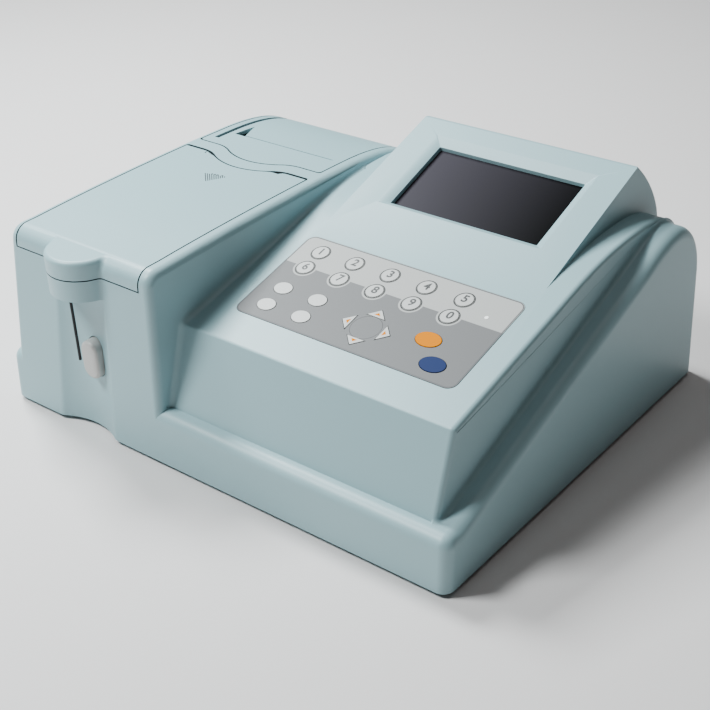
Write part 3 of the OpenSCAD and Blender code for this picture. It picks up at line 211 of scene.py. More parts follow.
@dataclass(frozen=True)
class CaseShape:
    """Sizes and outlines of the moulded case, in metres from its front left bottom corner.

    In the names of the points that its curves pass or are drawn to, in is the distance in
    front of the case's back, up the height above the surface, z the height above the
    bottom, out the distance behind the leaning rear face and swell how far behind its
    first point a curve's second one lies.
    """

    width: float = 0.360
    depth: float = 0.289
    wall: float = 0.003
    ledge_h: float = 0.0355
    front_lean: float = 3.44
    rear_lean: float = 1.83
    rear_swell: float = 0.0005
    rear_pull_z: float = 0.118
    edge_r: float = 0.008
    shoulder_w: float = 0.0155
    shoulder_y: float = 0.016
    shoulder_slope: float = 20.05
    shoulder_in: float = 0.079
    shoulder_bend_z: float = 0.072
    shoulder_pull_z: float = 0.104
    hump_in: float = 0.039
    hump_up: float = 0.0115
    hump_rear_in: float = 0.021
    hump_rear_up: float = 0.0004
    hump_front_in: float = 0.053
    hump_front_down: float = 0.0003
    hump_foot_in: float = 0.064
    hump_foot_up: float = 0.0063
    tower_w: float = 0.142
    tower_h: float = 0.1283
    tower_crown: float = 0.0023
    tower_edge_r: float = 0.010
    tower_draft: float = 4.8
    tower_foot: float = 0.0049
    tower_bend_z: float = 0.078
    tower_rear_in: float = 0.039
    tower_rear_up: float = 0.0003
    tower_back_in: float = 0.089
    tower_back_up: float = 0.0013
    tower_mid_in: float = 0.139
    tower_mid_crown: float = 1.2
    tower_fore_y: float = 0.080
    tower_fore_crown: float = 1.1
    tower_front_y: float = 0.026
    tower_front_up: float = 0.0002
    deck_front_z: float = 0.0865
    deck_slope: float = 13.57
    deck_wall_lean: float = 19.4
    deck_wall_y: float = 0.0125
    deck_edge_r: float = 0.0022
    deck_end_in: float = 0.134
    body_low_z: float = 0.010
    body_back_z: float = 0.071
    body_bend_z: float = 0.074
    body_out: float = 0.0003
    body_rear_in: float = 0.031
    body_rear_down: float = 0.0006
    crest_in: float = 0.067
    crest_up: float = 0.0076
    crest_front_in: float = 0.089
    crest_front_up: float = 0.0004
    crest_foot_in: float = 0.111
    bezel_x: float = 0.164
    bezel_w: float = 0.163
    bezel_len: float = 0.1145
    bezel_slope: float = 19.11
    bezel_in: float = 0.142
    bezel_low_z: float = 0.060
    bezel_foot_y: float = 0.003
    bezel_foot_out: float = 0.0006
    bezel_bend_z: float = 0.095
    bezel_out: float = -0.0002
    bezel_swell: float = 0.0004
    bezel_rear_in: float = 0.017
    bezel_rear_z: float = 0.138

    def front_y(self, z: float) -> float:
        """Distance of the leaning front face at height z."""
        return z * tangent(self.front_lean)

    def rear_y(self, z: float) -> float:
        """Distance of the leaning rear face at height z."""
        return self.depth - z * tangent(self.rear_lean)

    def deck_y(self, z: float) -> float:
        """Distance of the wall below the deck at height z."""
        return self.deck_wall_y + (z - self.ledge_h) * tangent(self.deck_wall_lean)

    def deck_z(self, y: float) -> float:
        """Height of the sloping deck at distance y."""
        start = self.deck_y(self.deck_front_z)
        return self.deck_front_z + (y - start) * tangent(self.deck_slope)

    @property
    def shoulder_end(self) -> Point:
        """Where the shoulders' straight rise ends."""
        y = self.depth - self.shoulder_in
        return y, self.ledge_h + (y - self.shoulder_y) * tangent(self.shoulder_slope)

    @property
    def bezel_fold(self) -> Point:
        """Foot of the display housing's face."""
        y = self.depth - self.bezel_in
        return y, self.deck_z(y)

    @property
    def bezel_top(self) -> Point:
        """Top of the display housing's face.

        Returns:
            Its distance and its height.
        """
        y, z = self.bezel_fold
        angle = math.radians(self.bezel_slope)
        return y + self.bezel_len * math.cos(angle), z + self.bezel_len * math.sin(angle)

    def leave_rear(self, bend_z: float, pull_z: float, out: float = 0.0,
                   swell: Optional[float] = None) -> Outline:
        """First two control points of a curve that leaves the rear face at bend_z."""
        y = self.rear_y(bend_z) + out
        return [(y, bend_z), (y + (self.rear_swell if swell is None else swell), pull_z)]

    def tower_rear(self) -> Outline:
        """Control points of the tower's arched back.

        Returns:
            The four points, from the lowest.
        """
        return self.leave_rear(self.tower_bend_z, self.rear_pull_z) + [
            (self.depth - self.tower_rear_in, self.tower_h + self.tower_rear_up),
            (self.depth - self.tower_back_in, self.tower_h + self.tower_back_up)]

    def tower(self) -> Outline:
        """Outline of the tower, seen from the right.

        Returns:
            The outline, anticlockwise.
        """
        rear = self.tower_rear()
        top = [rear[-1],
               (self.depth - self.tower_mid_in,
                self.tower_h + self.tower_mid_crown * self.tower_crown),
               (self.tower_fore_y, self.tower_h + self.tower_fore_crown * self.tower_crown),
               (self.tower_front_y, self.tower_h + self.tower_front_up)]
        corner = (self.front_y(self.tower_h), self.tower_h)
        return ([(0, 0), (self.depth, 0)] + curve(rear, 16) + curve(top, 12, 1)
                + rounded(top[-1], corner, (0, 0), self.tower_edge_r))

    def top_z(self, y: float) -> float:
        """Height of the tower's crown at distance y.

        Args:
            y: Distance from the case's front.

        Returns:
            The height, rounding included.
        """
        outline = self.tower()[2:]
        for (y1, z1), (y0, z0) in zip(outline[:-1], outline[1:]):
            if y0 <= y <= y1:
                return z0 + (z1 - z0) * (y - y0) / (y1 - y0)
        return self.tower_h

    def shoulder(self) -> Outline:
        """Outline of the base with its shoulders, seen from the right.

        Returns:
            The outline, anticlockwise.
        """
        end_y, end_z = self.shoulder_end
        hump = (self.depth - self.hump_in, end_z + self.hump_up)
        rear = self.leave_rear(self.shoulder_bend_z, self.shoulder_pull_z) + [
            (self.depth - self.hump_rear_in, hump[1] + self.hump_rear_up), hump]
        front = [hump, (self.depth - self.hump_front_in, hump[1] - self.hump_front_down),
                 (self.depth - self.hump_foot_in, end_z + self.hump_foot_up), (end_y, end_z)]
        ledge = (self.shoulder_y, self.ledge_h)
        return ([(0, 0), (self.depth, 0)] + curve(rear, 14) + curve(front, 10, 1) + [ledge]
                + rounded(ledge, (self.front_y(self.ledge_h), self.ledge_h), (0, 0), self.edge_r))

    def body(self, sunk: float) -> Outline:
        """Outline of the body under the deck, whose lower back lies inside the base.

        Args:
            sunk: Depth of the hidden lower back behind the base's rear face.

        Returns:
            The outline, seen from the right.
        """
        deck_end = (self.depth - self.deck_end_in, self.deck_z(self.depth - self.deck_end_in))
        crest = (self.depth - self.crest_in, deck_end[1] + self.crest_up)
        rear = self.leave_rear(self.body_bend_z, self.rear_pull_z, self.body_out) + [
            (self.depth - self.body_rear_in, crest[1] - self.body_rear_down), crest]
        foot_y = self.depth - self.crest_foot_in
        top = [crest, (self.depth - self.crest_front_in, crest[1] + self.crest_front_up),
               (foot_y, self.deck_z(foot_y)), deck_end]
        low = (self.deck_y(self.body_low_z), self.body_low_z)
        edge = (self.deck_y(self.deck_front_z), self.deck_front_z)
        return ([low] + [(self.rear_y(z) - sunk, z) for z in (self.body_low_z, self.body_back_z)]
                + curve(rear, 14) + curve(top, 10, 1)
                + rounded(deck_end, edge, low, self.deck_edge_r, 5))

    def bezel(self, sunk: float) -> Outline:
        """Outline of the display housing, whose lower back lies inside the body.

        Args:
            sunk: Depth of the hidden lower back behind the rear face.

        Returns:
            The outline, seen from the right.
        """
        fold_y, fold_z = self.bezel_fold
        rear = self.leave_rear(self.bezel_bend_z, self.rear_pull_z, self.bezel_out,
                               self.bezel_swell)
        rear += [(self.depth - self.bezel_rear_in, self.bezel_rear_z), self.bezel_top]
        back_y = self.rear_y(self.body_back_z) - sunk
        return ([(fold_y + self.bezel_foot_y, self.bezel_low_z), (back_y, self.bezel_low_z),
                 (back_y, self.body_back_z),
                 (self.rear_y(self.body_bend_z) + self.bezel_foot_out, self.body_bend_z)]
                + curve(rear, 14) + [(fold_y, fold_z)])


CASE = CaseShape()


# ---- modelling by operators


class Axis(Enum):
    """Direction in which an outline is drawn out, and how its two numbers are read."""

    X = "yz"
    Y = "xz"
    Z = "xy"

    def place(self, point: Point, along: float) -> Vector:
        """A point of the outline at a distance along the axis.

        Args:
            point: The outline's two numbers.
            along: Distance along the axis.

        Returns:
            The point in space.
        """
        if self is Axis.X:
            return Vector((along, point[0], point[1]))
        if self is Axis.Y:
            return Vector((point[0], along, point[1]))
        return Vector((point[0], point[1], along))

    @property
    def direction(self) -> Vector:
        """The axis as a unit vector."""
        return self.place((0, 0), 1)


class Join(Enum):
    """How two solids are combined."""

    ADD = "UNION"
    CUT = "DIFFERENCE"
    COMMON = "INTERSECT"


def activate(piece: bpy.types.Object) -> None:
    """Makes a piece the only selected and the active one.

    Args:
        piece: The piece.
    """
    bpy.ops.object.select_all(action="DESELECT")
    piece.select_set(True)
    bpy.context.view_layer.objects.active = piece


@contextmanager
def editing() -> Iterator[None]:
    """Edit mode on the active piece, with all of its mesh selected at first."""
    bpy.ops.object.mode_set(mode="EDIT")
    bpy.ops.mesh.select_all(action="SELECT")
    yield
    bpy.ops.object.mode_set(mode="OBJECT")


def turn_outwards() -> None:
    """Turns all faces of the mesh in edit mode outwards."""
    bpy.ops.mesh.select_all(action="SELECT")
    bpy.ops.mesh.normals_make_consistent(inside=False)


def prism(name: str, outline: Outline, axis: Axis, start: float, end: float) -> bpy.types.Object:
    """A solid drawn out from a flat outline.

    Args:
        name: Name of the piece.
        outline: Its outline.
        axis: Direction in which it is drawn out.
        start: Where it starts along the axis.
        end: Where it ends.

    Returns:
        The solid.
    """
    bpy.ops.object.select_all(action="DESELECT")
    bpy.ops.mesh.primitive_circle_add(vertices=len(outline), radius=0.01, fill_type="NGON")
    piece = bpy.context.active_object
    piece.name = piece.data.name = name
    for vertex, point in zip(piece.data.vertices, outline):
        vertex.co = axis.place(point, start)
    with editing():
        bpy.ops.mesh.extrude_region_move(
            TRANSFORM_OT_translate={"value": axis.direction * (end - start)})
        turn_outwards()
    return piece


def loft(name: str, levels: Sequence[tuple[float, Outline]]) -> bpy.types.Object:
    """A solid through outlines of as many points each, at rising heights.

    Args:
        name: Name of the piece.
        levels: Each height with its outline.

    Returns:
        The solid.
    """
    count = len(levels[0][1])
    bpy.ops.object.select_all(action="DESELECT")
    bpy.ops.mesh.primitive_grid_add(x_subdivisions=count, y_subdivisions=len(levels) - 1)
    piece = bpy.context.active_object
    piece.name = piece.data.name = name
    for index, vertex in enumerate(piece.data.vertices):
        row, column = divmod(index, count + 1)
        height, outline = levels[row]
        point = outline[column % count]
        vertex.co = (point[0], point[1], height)
    with editing():
        bpy.ops.mesh.remove_doubles(threshold=0.000001)
        bpy.ops.mesh.select_all(action="SELECT")
        bpy.ops.mesh.fill_holes(sides=0)
        turn_outwards()
    return piece


def block(name: str, low: Sequence[float], high: Sequence[float]) -> bpy.types.Object:
    """A box between two corners."""
    outline = [(low[0], low[1]), (high[0], low[1]), (high[0], high[1]), (low[0], high[1])]
    return prism(name, outline, Axis.Z, low[2], high[2])


def combine(piece: bpy.types.Object, tool: bpy.types.Object, how: Join,
            keep_tool: bool = False) -> bpy.types.Object:
    """Combines two solids into the first.

    Args:
        piece: The solid that is kept.
        tool: The other solid.
        how: How they are combined.
        keep_tool: Whether the other solid stays.

    Returns:
        The first solid.
    """
    activate(piece)
    modifier = piece.modifiers.new("combine", "BOOLEAN")
    modifier.operation = how.value
    modifier.solver = "MANIFOLD"
    modifier.object = tool
    bpy.ops.object.modifier_apply(modifier=modifier.name)
    if not keep_tool:
        bpy.data.objects.remove(tool)
    return piece


def combine_all(piece: bpy.types.Object, tools: Iterable[bpy.types.Object],
                how: Join) -> bpy.types.Object:
    """Combines a solid with several others, one after another.

    Args:
        piece: The solid that is kept.
        tools: The other solids, which are used up.
        how: How they are combined.

    Returns:
        The first solid.
    """
    for tool in tools:
        piece = combine(piece, tool, how)
    return piece


def tidy_faces(piece: bpy.types.Object, angle: float = 0.3) -> None:
    """Merges doubled points and dissolves the lines inside flat faces.

    Args:
        piece: The solid.
        angle: The bend, in degrees, up to which a face counts as flat.
    """
    activate(piece)
    with editing():
        bpy.ops.mesh.remove_doubles(threshold=0.00002)
        bpy.ops.mesh.dissolve_limited(angle_limit=math.radians(angle))


def round_edges(piece: bpy.types.Object, radius_of: RadiusOf, steps: int = 4) -> None:
    """Rounds the edges of a solid, each by its own radius.

    Args:
        piece: The solid.
        radius_of: Takes an edge's ends and its angle in degrees, which is negative in a
            hollow, and gives its radius, or 0 to leave it.
        steps: Number of faces round each edge.
    """
    reader = bmesh.new()
    reader.from_mesh(piece.data)
    radii = [0.0] * len(reader.edges)
    for edge in reader.edges:
        if len(edge.link_faces) == 2:
            angle = math.degrees(edge.calc_face_angle_signed(0.0))
            radii[edge.index] = radius_of(edge.verts[0].co, edge.verts[1].co, angle)
    reader.free()
    largest = max(radii)
    if largest <= 0:
        LOG.warning("%s has no such edge", piece.name)
        return
    weights = piece.data.attributes.new("bevel_weight_edge", "FLOAT", "EDGE")
    weights.data.foreach_set("value", [r / largest for r in radii])
    activate(piece)
    modifier = piece.modifiers.new("round", "BEVEL")
    modifier.limit_method = "WEIGHT"
    modifier.width = largest
    modifier.segments = steps
    modifier.use_clamp_overlap = False
    modifier.miter_outer = "MITER_SHARP"
    bpy.ops.object.modifier_apply(modifier=modifier.name)
    left = piece.data.attributes.get("bevel_weight_edge")
    if left:
        piece.data.attributes.remove(left)


def slice_off(piece: bpy.types.Object, point: Vector, normal: Vector) -> None:
    """Cuts away all of a solid on the side of a plane that its normal points to.

    Args:
        piece: The solid.
        point: A point of the plane.
        normal: The plane's normal.
    """
    activate(piece)
    with editing():
        bpy.ops.mesh.bisect(plane_co=point, plane_no=normal, use_fill=True, clear_outer=True)


def copy_of(piece: bpy.types.Object, name: str) -> bpy.types.Object:
    """A copy of a piece with its own mesh.

    Args:
        piece: The piece.
        name: Name of the copy.

    Returns:
        The copy.
    """
    activate(piece)
    bpy.ops.object.duplicate()
    twin = bpy.context.active_object
    twin.name = twin.data.name = name
    return twin


def smooth(piece: bpy.types.Object, sharp: float = 38.0) -> None:
    """Shades a solid smooth up to an angle, with normals led by its large faces.

    Args:
        piece: The solid.
        sharp: The bend, in degrees, from which an edge stays sharp.
    """
    activate(piece)
    bpy.ops.object.shade_smooth_by_angle(angle=math.radians(sharp))
    modifier = piece.modifiers.new("normals", "WEIGHTED_NORMAL")
    modifier.keep_sharp = True
    bpy.ops.object.modifier_apply(modifier=modifier.name)


def tilted(y: float, z: float, degrees: float) -> Matrix:
    """Place of a sloping face: x to the right, y up the slope, z out of the case."""
    return Matrix.Translation((0, y, z)) @ Matrix.Rotation(math.radians(degrees), 4, "X")


DECK = tilted(CASE.deck_y(CASE.deck_front_z), CASE.deck_front_z, CASE.deck_slope)
FACE = tilted(*CASE.bezel_fold, CASE.bezel_slope)


def stand(piece: bpy.types.Object, place: Matrix) -> bpy.types.Object:
    """Moves a piece to a place and leaves its object at the origin.

    Args:
        piece: The piece, at the origin.
        place: Where it goes.

    Returns:
        The piece.
    """
    activate(piece)
    piece.matrix_world = place
    bpy.ops.object.transform_apply(location=True, rotation=True, scale=True)
    return piece


# ---- finishes


def linear(*rgb: int) -> tuple[float, float, float]:
    """An 8-bit colour as linear values."""
    return tuple((c / 255 / 12.92) if c <= 10 else ((c / 255 + 0.055) / 1.055) ** 2.4
                 for c in rgb)


def middle_of(node: str) -> Vector:
    """Middle of a construction node's box."""
    low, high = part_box(node)
    return (low + high) / 2


class Pattern(Enum):
    """What a finish shows besides its fine grain."""

    PLAIN = 1
    BRUSHED = 2
    BOARD = 3
    ROLL = 4
    FILTERS = 5
    FILM = 6
    SCREEN = 7


class Shader:
    """One material's nodes, with short ways to add them."""

    def __init__(self, name: str) -> None:
        """Starts an empty material with its output and its main shader.

        Args:
            name: Name of the material.
        """
        self.material = bpy.data.materials.new(name)
        self.material.use_nodes = True
        self.nodes = self.material.node_tree.nodes
        self.nodes.clear()
        self.surface = self.nodes.new("ShaderNodeBsdfPrincipled")
        output = self.nodes.new("ShaderNodeOutputMaterial")
        self.link(self.surface.outputs[0], output.inputs[0])
        self.place = self.nodes.new("ShaderNodeTexCoord").outputs["Object"]

    def link(self, start: bpy.types.NodeSocket, end: bpy.types.NodeSocket) -> None:
        """Joins two sockets."""
        self.material.node_tree.links.new(start, end)

    def feed(self, socket: bpy.types.NodeSocket, value: object) -> None:
        """Sets a socket to a number or joins it to another socket.

        Args:
            socket: The socket that is fed.
            value: A number, a colour or another socket.
        """
        if isinstance(value, bpy.types.NodeSocket):
            self.link(value, socket)
        elif isinstance(value, tuple) and len(value) == 3 and socket.type == "RGBA":
            socket.default_value = (*value, 1)
        else:
            socket.default_value = value

    def math(self, operation: str, a: object, b: object = 0.0,
             clamp: bool = False) -> bpy.types.NodeSocket:
        """The result of an operation on two values.

        Args:
            operation: Blender's name of the operation.
            a: The first value.
            b: The second value.
            clamp: Whether the result is kept from 0 to 1.

        Returns:
            The socket that gives the result.
        """
        node = self.nodes.new("ShaderNodeMath")
        node.operation, node.use_clamp = operation, clamp
        self.feed(node.inputs[0], a)
        self.feed(node.inputs[1], b)
        return node.outputs[0]

    def minus(self, a: object, b: object) -> bpy.types.NodeSocket:
        """The first value less the second."""
        return self.math("SUBTRACT", a, b)

    def times(self, a: object, b: object) -> bpy.types.NodeSocket:
        """The product of two values."""
        return self.math("MULTIPLY", a, b)

    def reach(self, a: object, b: object) -> bpy.types.NodeSocket:
        """Length of a way that goes a along one axis and b along another."""
        squares = [self.math("POWER", part, 2.0) for part in (a, b)]
        return self.math("SQRT", self.math("ADD", *squares))

    def mix(self, factor: object, a: object, b: object) -> bpy.types.NodeSocket:
        """A blend of two colours.

        Args:
            factor: Share of the second colour.
            a: The first colour.
            b: The second colour.

        Returns:
            The socket that gives the colour.
        """
        node = self.nodes.new("ShaderNodeMix")
        node.data_type = "RGBA"
        self.feed(node.inputs[0], factor)
        self.feed(node.inputs[6], a)
        self.feed(node.inputs[7], b)
        return node.outputs[2]

    def axes(self) -> tuple[bpy.types.NodeSocket, ...]:
        """The three parts of a point's place.

        Returns:
            The sockets that give x, y and z.
        """
        node = self.nodes.new("ShaderNodeSeparateXYZ")
        self.link(self.place, node.inputs[0])
        return tuple(node.outputs)

    def noise(self, scale: float, detail: float = 2.0,
              stretch: tuple[float, float, float] = (1, 1, 1)) -> bpy.types.NodeSocket:
        """Noise of a number of swings per metre.

        Args:
            scale: Swings per metre.
            detail: Number of finer layers.
            stretch: How much denser the noise is along each axis.

        Returns:
            The socket that gives the noise, from 0 to 1.
        """
        node = self.nodes.new("ShaderNodeTexNoise")
        self.feed(node.inputs["Scale"], scale)
        self.feed(node.inputs["Detail"], detail)
        mapping = self.nodes.new("ShaderNodeMapping")
        mapping.inputs["Scale"].default_value = stretch
        self.link(self.place, mapping.inputs[0])
        self.link(mapping.outputs[0], node.inputs[0])
        return node.outputs[0]

    def ramp(self, value: object, low: float, high: float) -> bpy.types.NodeSocket:
        """0 below low, 1 above high, straight between."""
        return self.math("MULTIPLY", self.minus(value, low), 1 / (high - low), True)

    def above(self, value: object, edge: float, soft: float = 0.00012) -> bpy.types.NodeSocket:
        """A step from 0 to 1 at an edge, as sharp as a print."""
        return self.ramp(value, edge - soft, edge + soft)

    def line(self, place: object, at: float, width: float) -> bpy.types.NodeSocket:
        """1 on a printed line that runs where place is at, 0 beside it."""
        past = self.math("ABSOLUTE", self.minus(place, at))
        return self.minus(1.0, self.above(past, width / 2, 0.00005))


@dataclass(frozen=True)
class PatternSizes:
    """Lengths in metres, scales in swings per metre, and shares of the finishes' patterns."""

    blotch_scale: float = 14.0
    grain_spread: float = 0.2
    grain_depth: float = 0.0002
    brush_stretch: float = 0.02
    coat_rough: float = 0.08
    part_scale: float = 60.0
    board_top_z: float = 0.0133
    board_soft: float = 0.0002
    wraps: float = 2500.0
    wrap_share: float = 0.12
    hue_turn: float = 6.3
    hue_depth: float = 0.7
    hue_light: float = 0.6
    hue_share: float = 0.85
    # Slant and ends of the screen's painted reflection.
    glare_lean: float = -0.35
    glare_from: float = -0.035
    glare_to: float = 0.075


SIZES = PatternSizes()
PART_GREY = (120, 122, 126)


@dataclass(frozen=True)
class Finish:
    """One surface's colours, sheen and grain."""

    name: str
    rgb: tuple[int, int, int]
    rough: float = 0.45
    metal: float = 0.0
    vary: float = 0.05
    grain: float = 900.0
    bump: float = 0.06
    shine: float = 0.5
    coat: float = 0.0
    clear: float = 0.0
    glow: float = 0.0
    pattern: Pattern = Pattern.PLAIN
    second: tuple[int, int, int] = (40, 42, 44)

    def colour(self, shader: Shader) -> bpy.types.NodeSocket:
        """The base colour, varied softly over the surface.

        Args:
            shader: The material's nodes.

        Returns:
            The socket that gives the colour.
        """
        base = linear(*self.rgb)
        dark = tuple(c * (1 - self.vary) for c in base)
        light = tuple(min(1.0, c * (1 + self.vary)) for c in base)
        broad = shader.mix(shader.noise(SIZES.blotch_scale, 3.0), dark, light)
        patterns = {Pattern.BOARD: self.board_colour, Pattern.ROLL: self.roll_colour,
                    Pattern.FILTERS: self.filter_colour, Pattern.SCREEN: self.screen_colour,
                    Pattern.FILM: self.film_colour}
        return patterns[self.pattern](shader, broad) if self.pattern in patterns else broad

    def board_colour(self, shader: Shader, broad: bpy.types.NodeSocket) -> bpy.types.NodeSocket:
        """A green board with darker and lighter parts above it.

        Args:
            shader: The material's nodes.
            broad: The softly varied base colour.

        Returns:
            The socket that gives the colour.
        """
        _, _, z = shader.axes()
        parts = shader.mix(shader.noise(SIZES.part_scale), linear(*self.second),
                           linear(*PART_GREY))
        return shader.mix(shader.above(z, SIZES.board_top_z, SIZES.board_soft), broad, parts)

    def roll_colour(self, shader: Shader, broad: bpy.types.NodeSocket) -> bpy.types.NodeSocket:
        """The wraps of the paper, as rings on the roll's ends.

        Args:
            shader: The material's nodes.
            broad: The softly varied base colour.

        Returns:
            The socket that gives the colour.
        """
        _, y, z = shader.axes()
        axis = middle_of("paper_roll")
        reach = shader.reach(shader.minus(y, axis.y), shader.minus(z, axis.z))
        rings = shader.math("FRACT", shader.times(reach, SIZES.wraps))
        return shader.mix(shader.times(rings, SIZES.wrap_share), broad, linear(*self.second))

    def filter_colour(self, shader: Shader, broad: bpy.types.NodeSocket) -> bpy.types.NodeSocket:
        """A hue for each filter, by its place round the wheel.

        Args:
            shader: The material's nodes.
            broad: The softly varied base colour.

        Returns:
            The socket that gives the colour.
        """
        _, y, z = shader.axes()
        axis = middle_of("filter_wheel")
        turn = shader.math("ARCTAN2", shader.minus(y, axis.y), shader.minus(z, axis.z))
        node = shader.nodes.new("ShaderNodeCombineColor")
        node.mode = "HSV"
        hue = shader.math("ADD", shader.math("DIVIDE", turn, SIZES.hue_turn), 0.5)
        for socket, value in zip(node.inputs, (hue, SIZES.hue_depth, SIZES.hue_light)):
            shader.feed(socket, value)
        return shader.mix(SIZES.hue_share, broad, node.outputs[0])

    def screen_colour(self, shader: Shader, broad: bpy.types.NodeSocket) -> bpy.types.NodeSocket:
        """A dark pane with a painted reflection that makes it lighter towards its lower left.

        Args:
            shader: The material's nodes.
            broad: The base colour, which the pane leaves out.

        Returns:
            The socket that gives the colour.
        """
        x, _, z = shader.axes()
        across = shader.math("ADD", x, shader.times(z, SIZES.glare_lean))
        return shader.mix(shader.ramp(across, SIZES.glare_from, SIZES.glare_to),
                          linear(*self.second), linear(*self.rgb))

    def film_colour(self, shader: Shader, broad: bpy.types.NodeSocket) -> bpy.types.NodeSocket:
        """The keypad's print: a light upper field with half-rounds, rings and a rim line, which is
        print darkened to paint the shade along the film's recess too.

        Args:
            shader: The material's nodes.
            broad: The softly varied base colour.

        Returns:
            The socket that gives the colour.
        """
        pad = Keypad()
        x, y, z = shader.axes()
        slope = math.radians(CASE.deck_slope)
        y0 = CASE_ORIGIN.y + CASE.deck_y(CASE.deck_front_z)
        z0 = CASE_ORIGIN.z + CASE.deck_front_z
        up = shader.math("ADD", shader.times(shader.minus(y, y0), math.cos(slope)),
                         shader.times(shader.minus(z, z0), math.sin(slope)))
        across = shader.minus(x, CASE_ORIGIN.x)
        row = pad.first[1] - pad.pitch[1]
        step = shader.math("DIVIDE", shader.minus(across, pad.first[0]), pad.pitch[0])
        whole = shader.math("MINIMUM", shader.math("ROUND", step), pad.columns - 1.0)
        whole = shader.math("MAXIMUM", whole, 0.0)
        beside = shader.times(shader.minus(step, whole), pad.pitch[0])
        lower, upper = (shader.reach(beside, shader.minus(up, s)) for s in (row, pad.first[1]))
        light = shader.math("MAXIMUM", shader.above(up, row + pad.field_up),
                            shader.minus(1.0, shader.above(lower, pad.halo_r)))
        field = shader.mix(light, linear(*self.second), broad)
        arrows = shader.reach(shader.minus(across, pad.arrow_centre[0]),
                              shader.minus(up, pad.arrow_centre[1]))
        sides = []
        for place, start, size in ((across, pad.left, pad.width), (up, pad.bottom, pad.height)):
            past = shader.math("ABSOLUTE", shader.minus(place, start + size / 2))
            past = shader.minus(past, size / 2 - pad.corner_r)
            sides.append(shader.math("MAXIMUM", past, 0.0))
        # The last line is the rim: print, darkened as painted shade along the film's edge.
        lines = [(arrows, pad.arrow_ring_r, pad.arrow_ring_w, pad.arrow_ring_rgb),
                 (lower, pad.ring_r, pad.ring_w, INK.rgb),
                 (upper, pad.ring_r, pad.ring_w, INK.rgb),
                 (shader.reach(*sides), pad.corner_r - pad.rim_in, pad.rim_w, pad.rim_rgb)]
        for place, at, width, rgb in lines:
            field = shader.mix(shader.line(place, at, width), field, linear(*rgb))
        return field

    def material(self) -> bpy.types.Material:
        """The finish as a material, made once.

        Returns:
            The material.
        """
        ready = bpy.data.materials.get(f"finish_{self.name}")
        if ready:
            return ready
        shader = Shader(f"finish_{self.name}")
        surface = shader.surface.inputs
        shader.feed(surface["Base Color"], self.colour(shader))
        shader.feed(surface["Metallic"], self.metal)
        shader.feed(surface["Specular IOR Level"], self.shine)
        shader.feed(surface["Coat Weight"], self.coat)
        shader.feed(surface["Coat Roughness"], SIZES.coat_rough)
        shader.feed(surface["Transmission Weight"], self.clear)
        shader.feed(surface["Emission Strength"], self.glow)
        along = SIZES.brush_stretch if self.pattern is Pattern.BRUSHED else 1
        fine = shader.noise(self.grain, 3.0, (along, 1, 1))
        spread = shader.times(shader.minus(fine, 0.5), SIZES.grain_spread * self.rough)
        shader.feed(surface["Roughness"], shader.math("ADD", spread, self.rough, True))
        bump = shader.nodes.new("ShaderNodeBump")
        shader.feed(bump.inputs["Strength"], self.bump)
        shader.feed(bump.inputs["Distance"], SIZES.grain_depth)
        shader.link(fine, bump.inputs["Height"])
        shader.link(bump.outputs[0], surface["Normal"])
        return shader.material


CASE_PLASTIC = Finish("case_plastic", (150, 182, 188), rough=0.42, vary=0.02, grain=1400)
KEY_WHITE = Finish("key_white", (196, 196, 194), rough=0.35, vary=0.02, bump=0.02, shine=0.2)
KEY_ORANGE = Finish("key_orange", (218, 128, 0), rough=0.5, vary=0.04, bump=0.02, shine=0.0)
KEY_NAVY = Finish("key_navy", (36, 50, 92), rough=0.5, vary=0.05, bump=0.02, shine=0.05)
FILM = Finish("keypad_film", (176, 176, 174), rough=0.5, vary=0.015, bump=0.03, shine=0.2,
              pattern=Pattern.FILM, second=(112, 112, 113))
INK = Finish("ink", (26, 26, 28), rough=0.5, vary=0.04)
# Painted shade: a darker colour on the walls of the printer cover's side groove, where it lies in
# shade.
GROOVE_PAINTED_SHADE = Finish("groove", (112, 128, 133), rough=0.6, vary=0.03)
# Painted shade: a near-black colour on the faces inside the seams, where the gaps lie in shade.
SEAM_PAINTED_SHADE = Finish("seam", (30, 38, 41), rough=0.6, vary=0.03)
LIGHT = Finish("light", (250, 250, 250), rough=0.2, vary=0.01, coat=0.5, glow=0.6)
BUTTON_GREY = Finish("button_grey", (182, 180, 177), rough=0.4, vary=0.03)
# The screen's lighter second colour is a painted reflection, fading across the pane.
SCREEN = Finish("screen", (4, 4, 5), rough=0.4, vary=0.04, bump=0.0, shine=0.03,
                pattern=Pattern.SCREEN, second=(58, 55, 62))
STEEL = Finish("sheet_steel", (170, 174, 176), rough=0.42, metal=0.9, pattern=Pattern.BRUSHED)
BRIGHT = Finish("bright_steel", (190, 192, 194), rough=0.25, metal=1.0, pattern=Pattern.BRUSHED)
DARK_STEEL = Finish("dark_needle", (26, 27, 29), rough=0.3, metal=0.6, vary=0.1)
RUBBER = Finish("rubber", (34, 35, 36), rough=0.8, vary=0.1, grain=500, bump=0.2)
BLACK = Finish("black_plastic", (36, 38, 40), rough=0.5, vary=0.08)
DARK_TRAY = Finish("dark_tray", (62, 68, 71), rough=0.55, vary=0.06)
WHITE = Finish("white_plastic", (222, 223, 220), rough=0.42, vary=0.03)
SILICONE = Finish("silicone", (214, 214, 206), rough=0.3, vary=0.04, clear=0.45)
GLASS = Finish("optical_glass", (206, 220, 222), rough=0.06, vary=0.02, bump=0.0, clear=0.9)
FILTERS = Finish("filters", (150, 110, 140), rough=0.1, vary=0.05, bump=0.0, coat=0.5,
                 pattern=Pattern.FILTERS)
PAPER = Finish("paper", (236, 234, 226), rough=0.85, vary=0.03, grain=700, bump=0.1,
               pattern=Pattern.ROLL, second=(150, 148, 140))
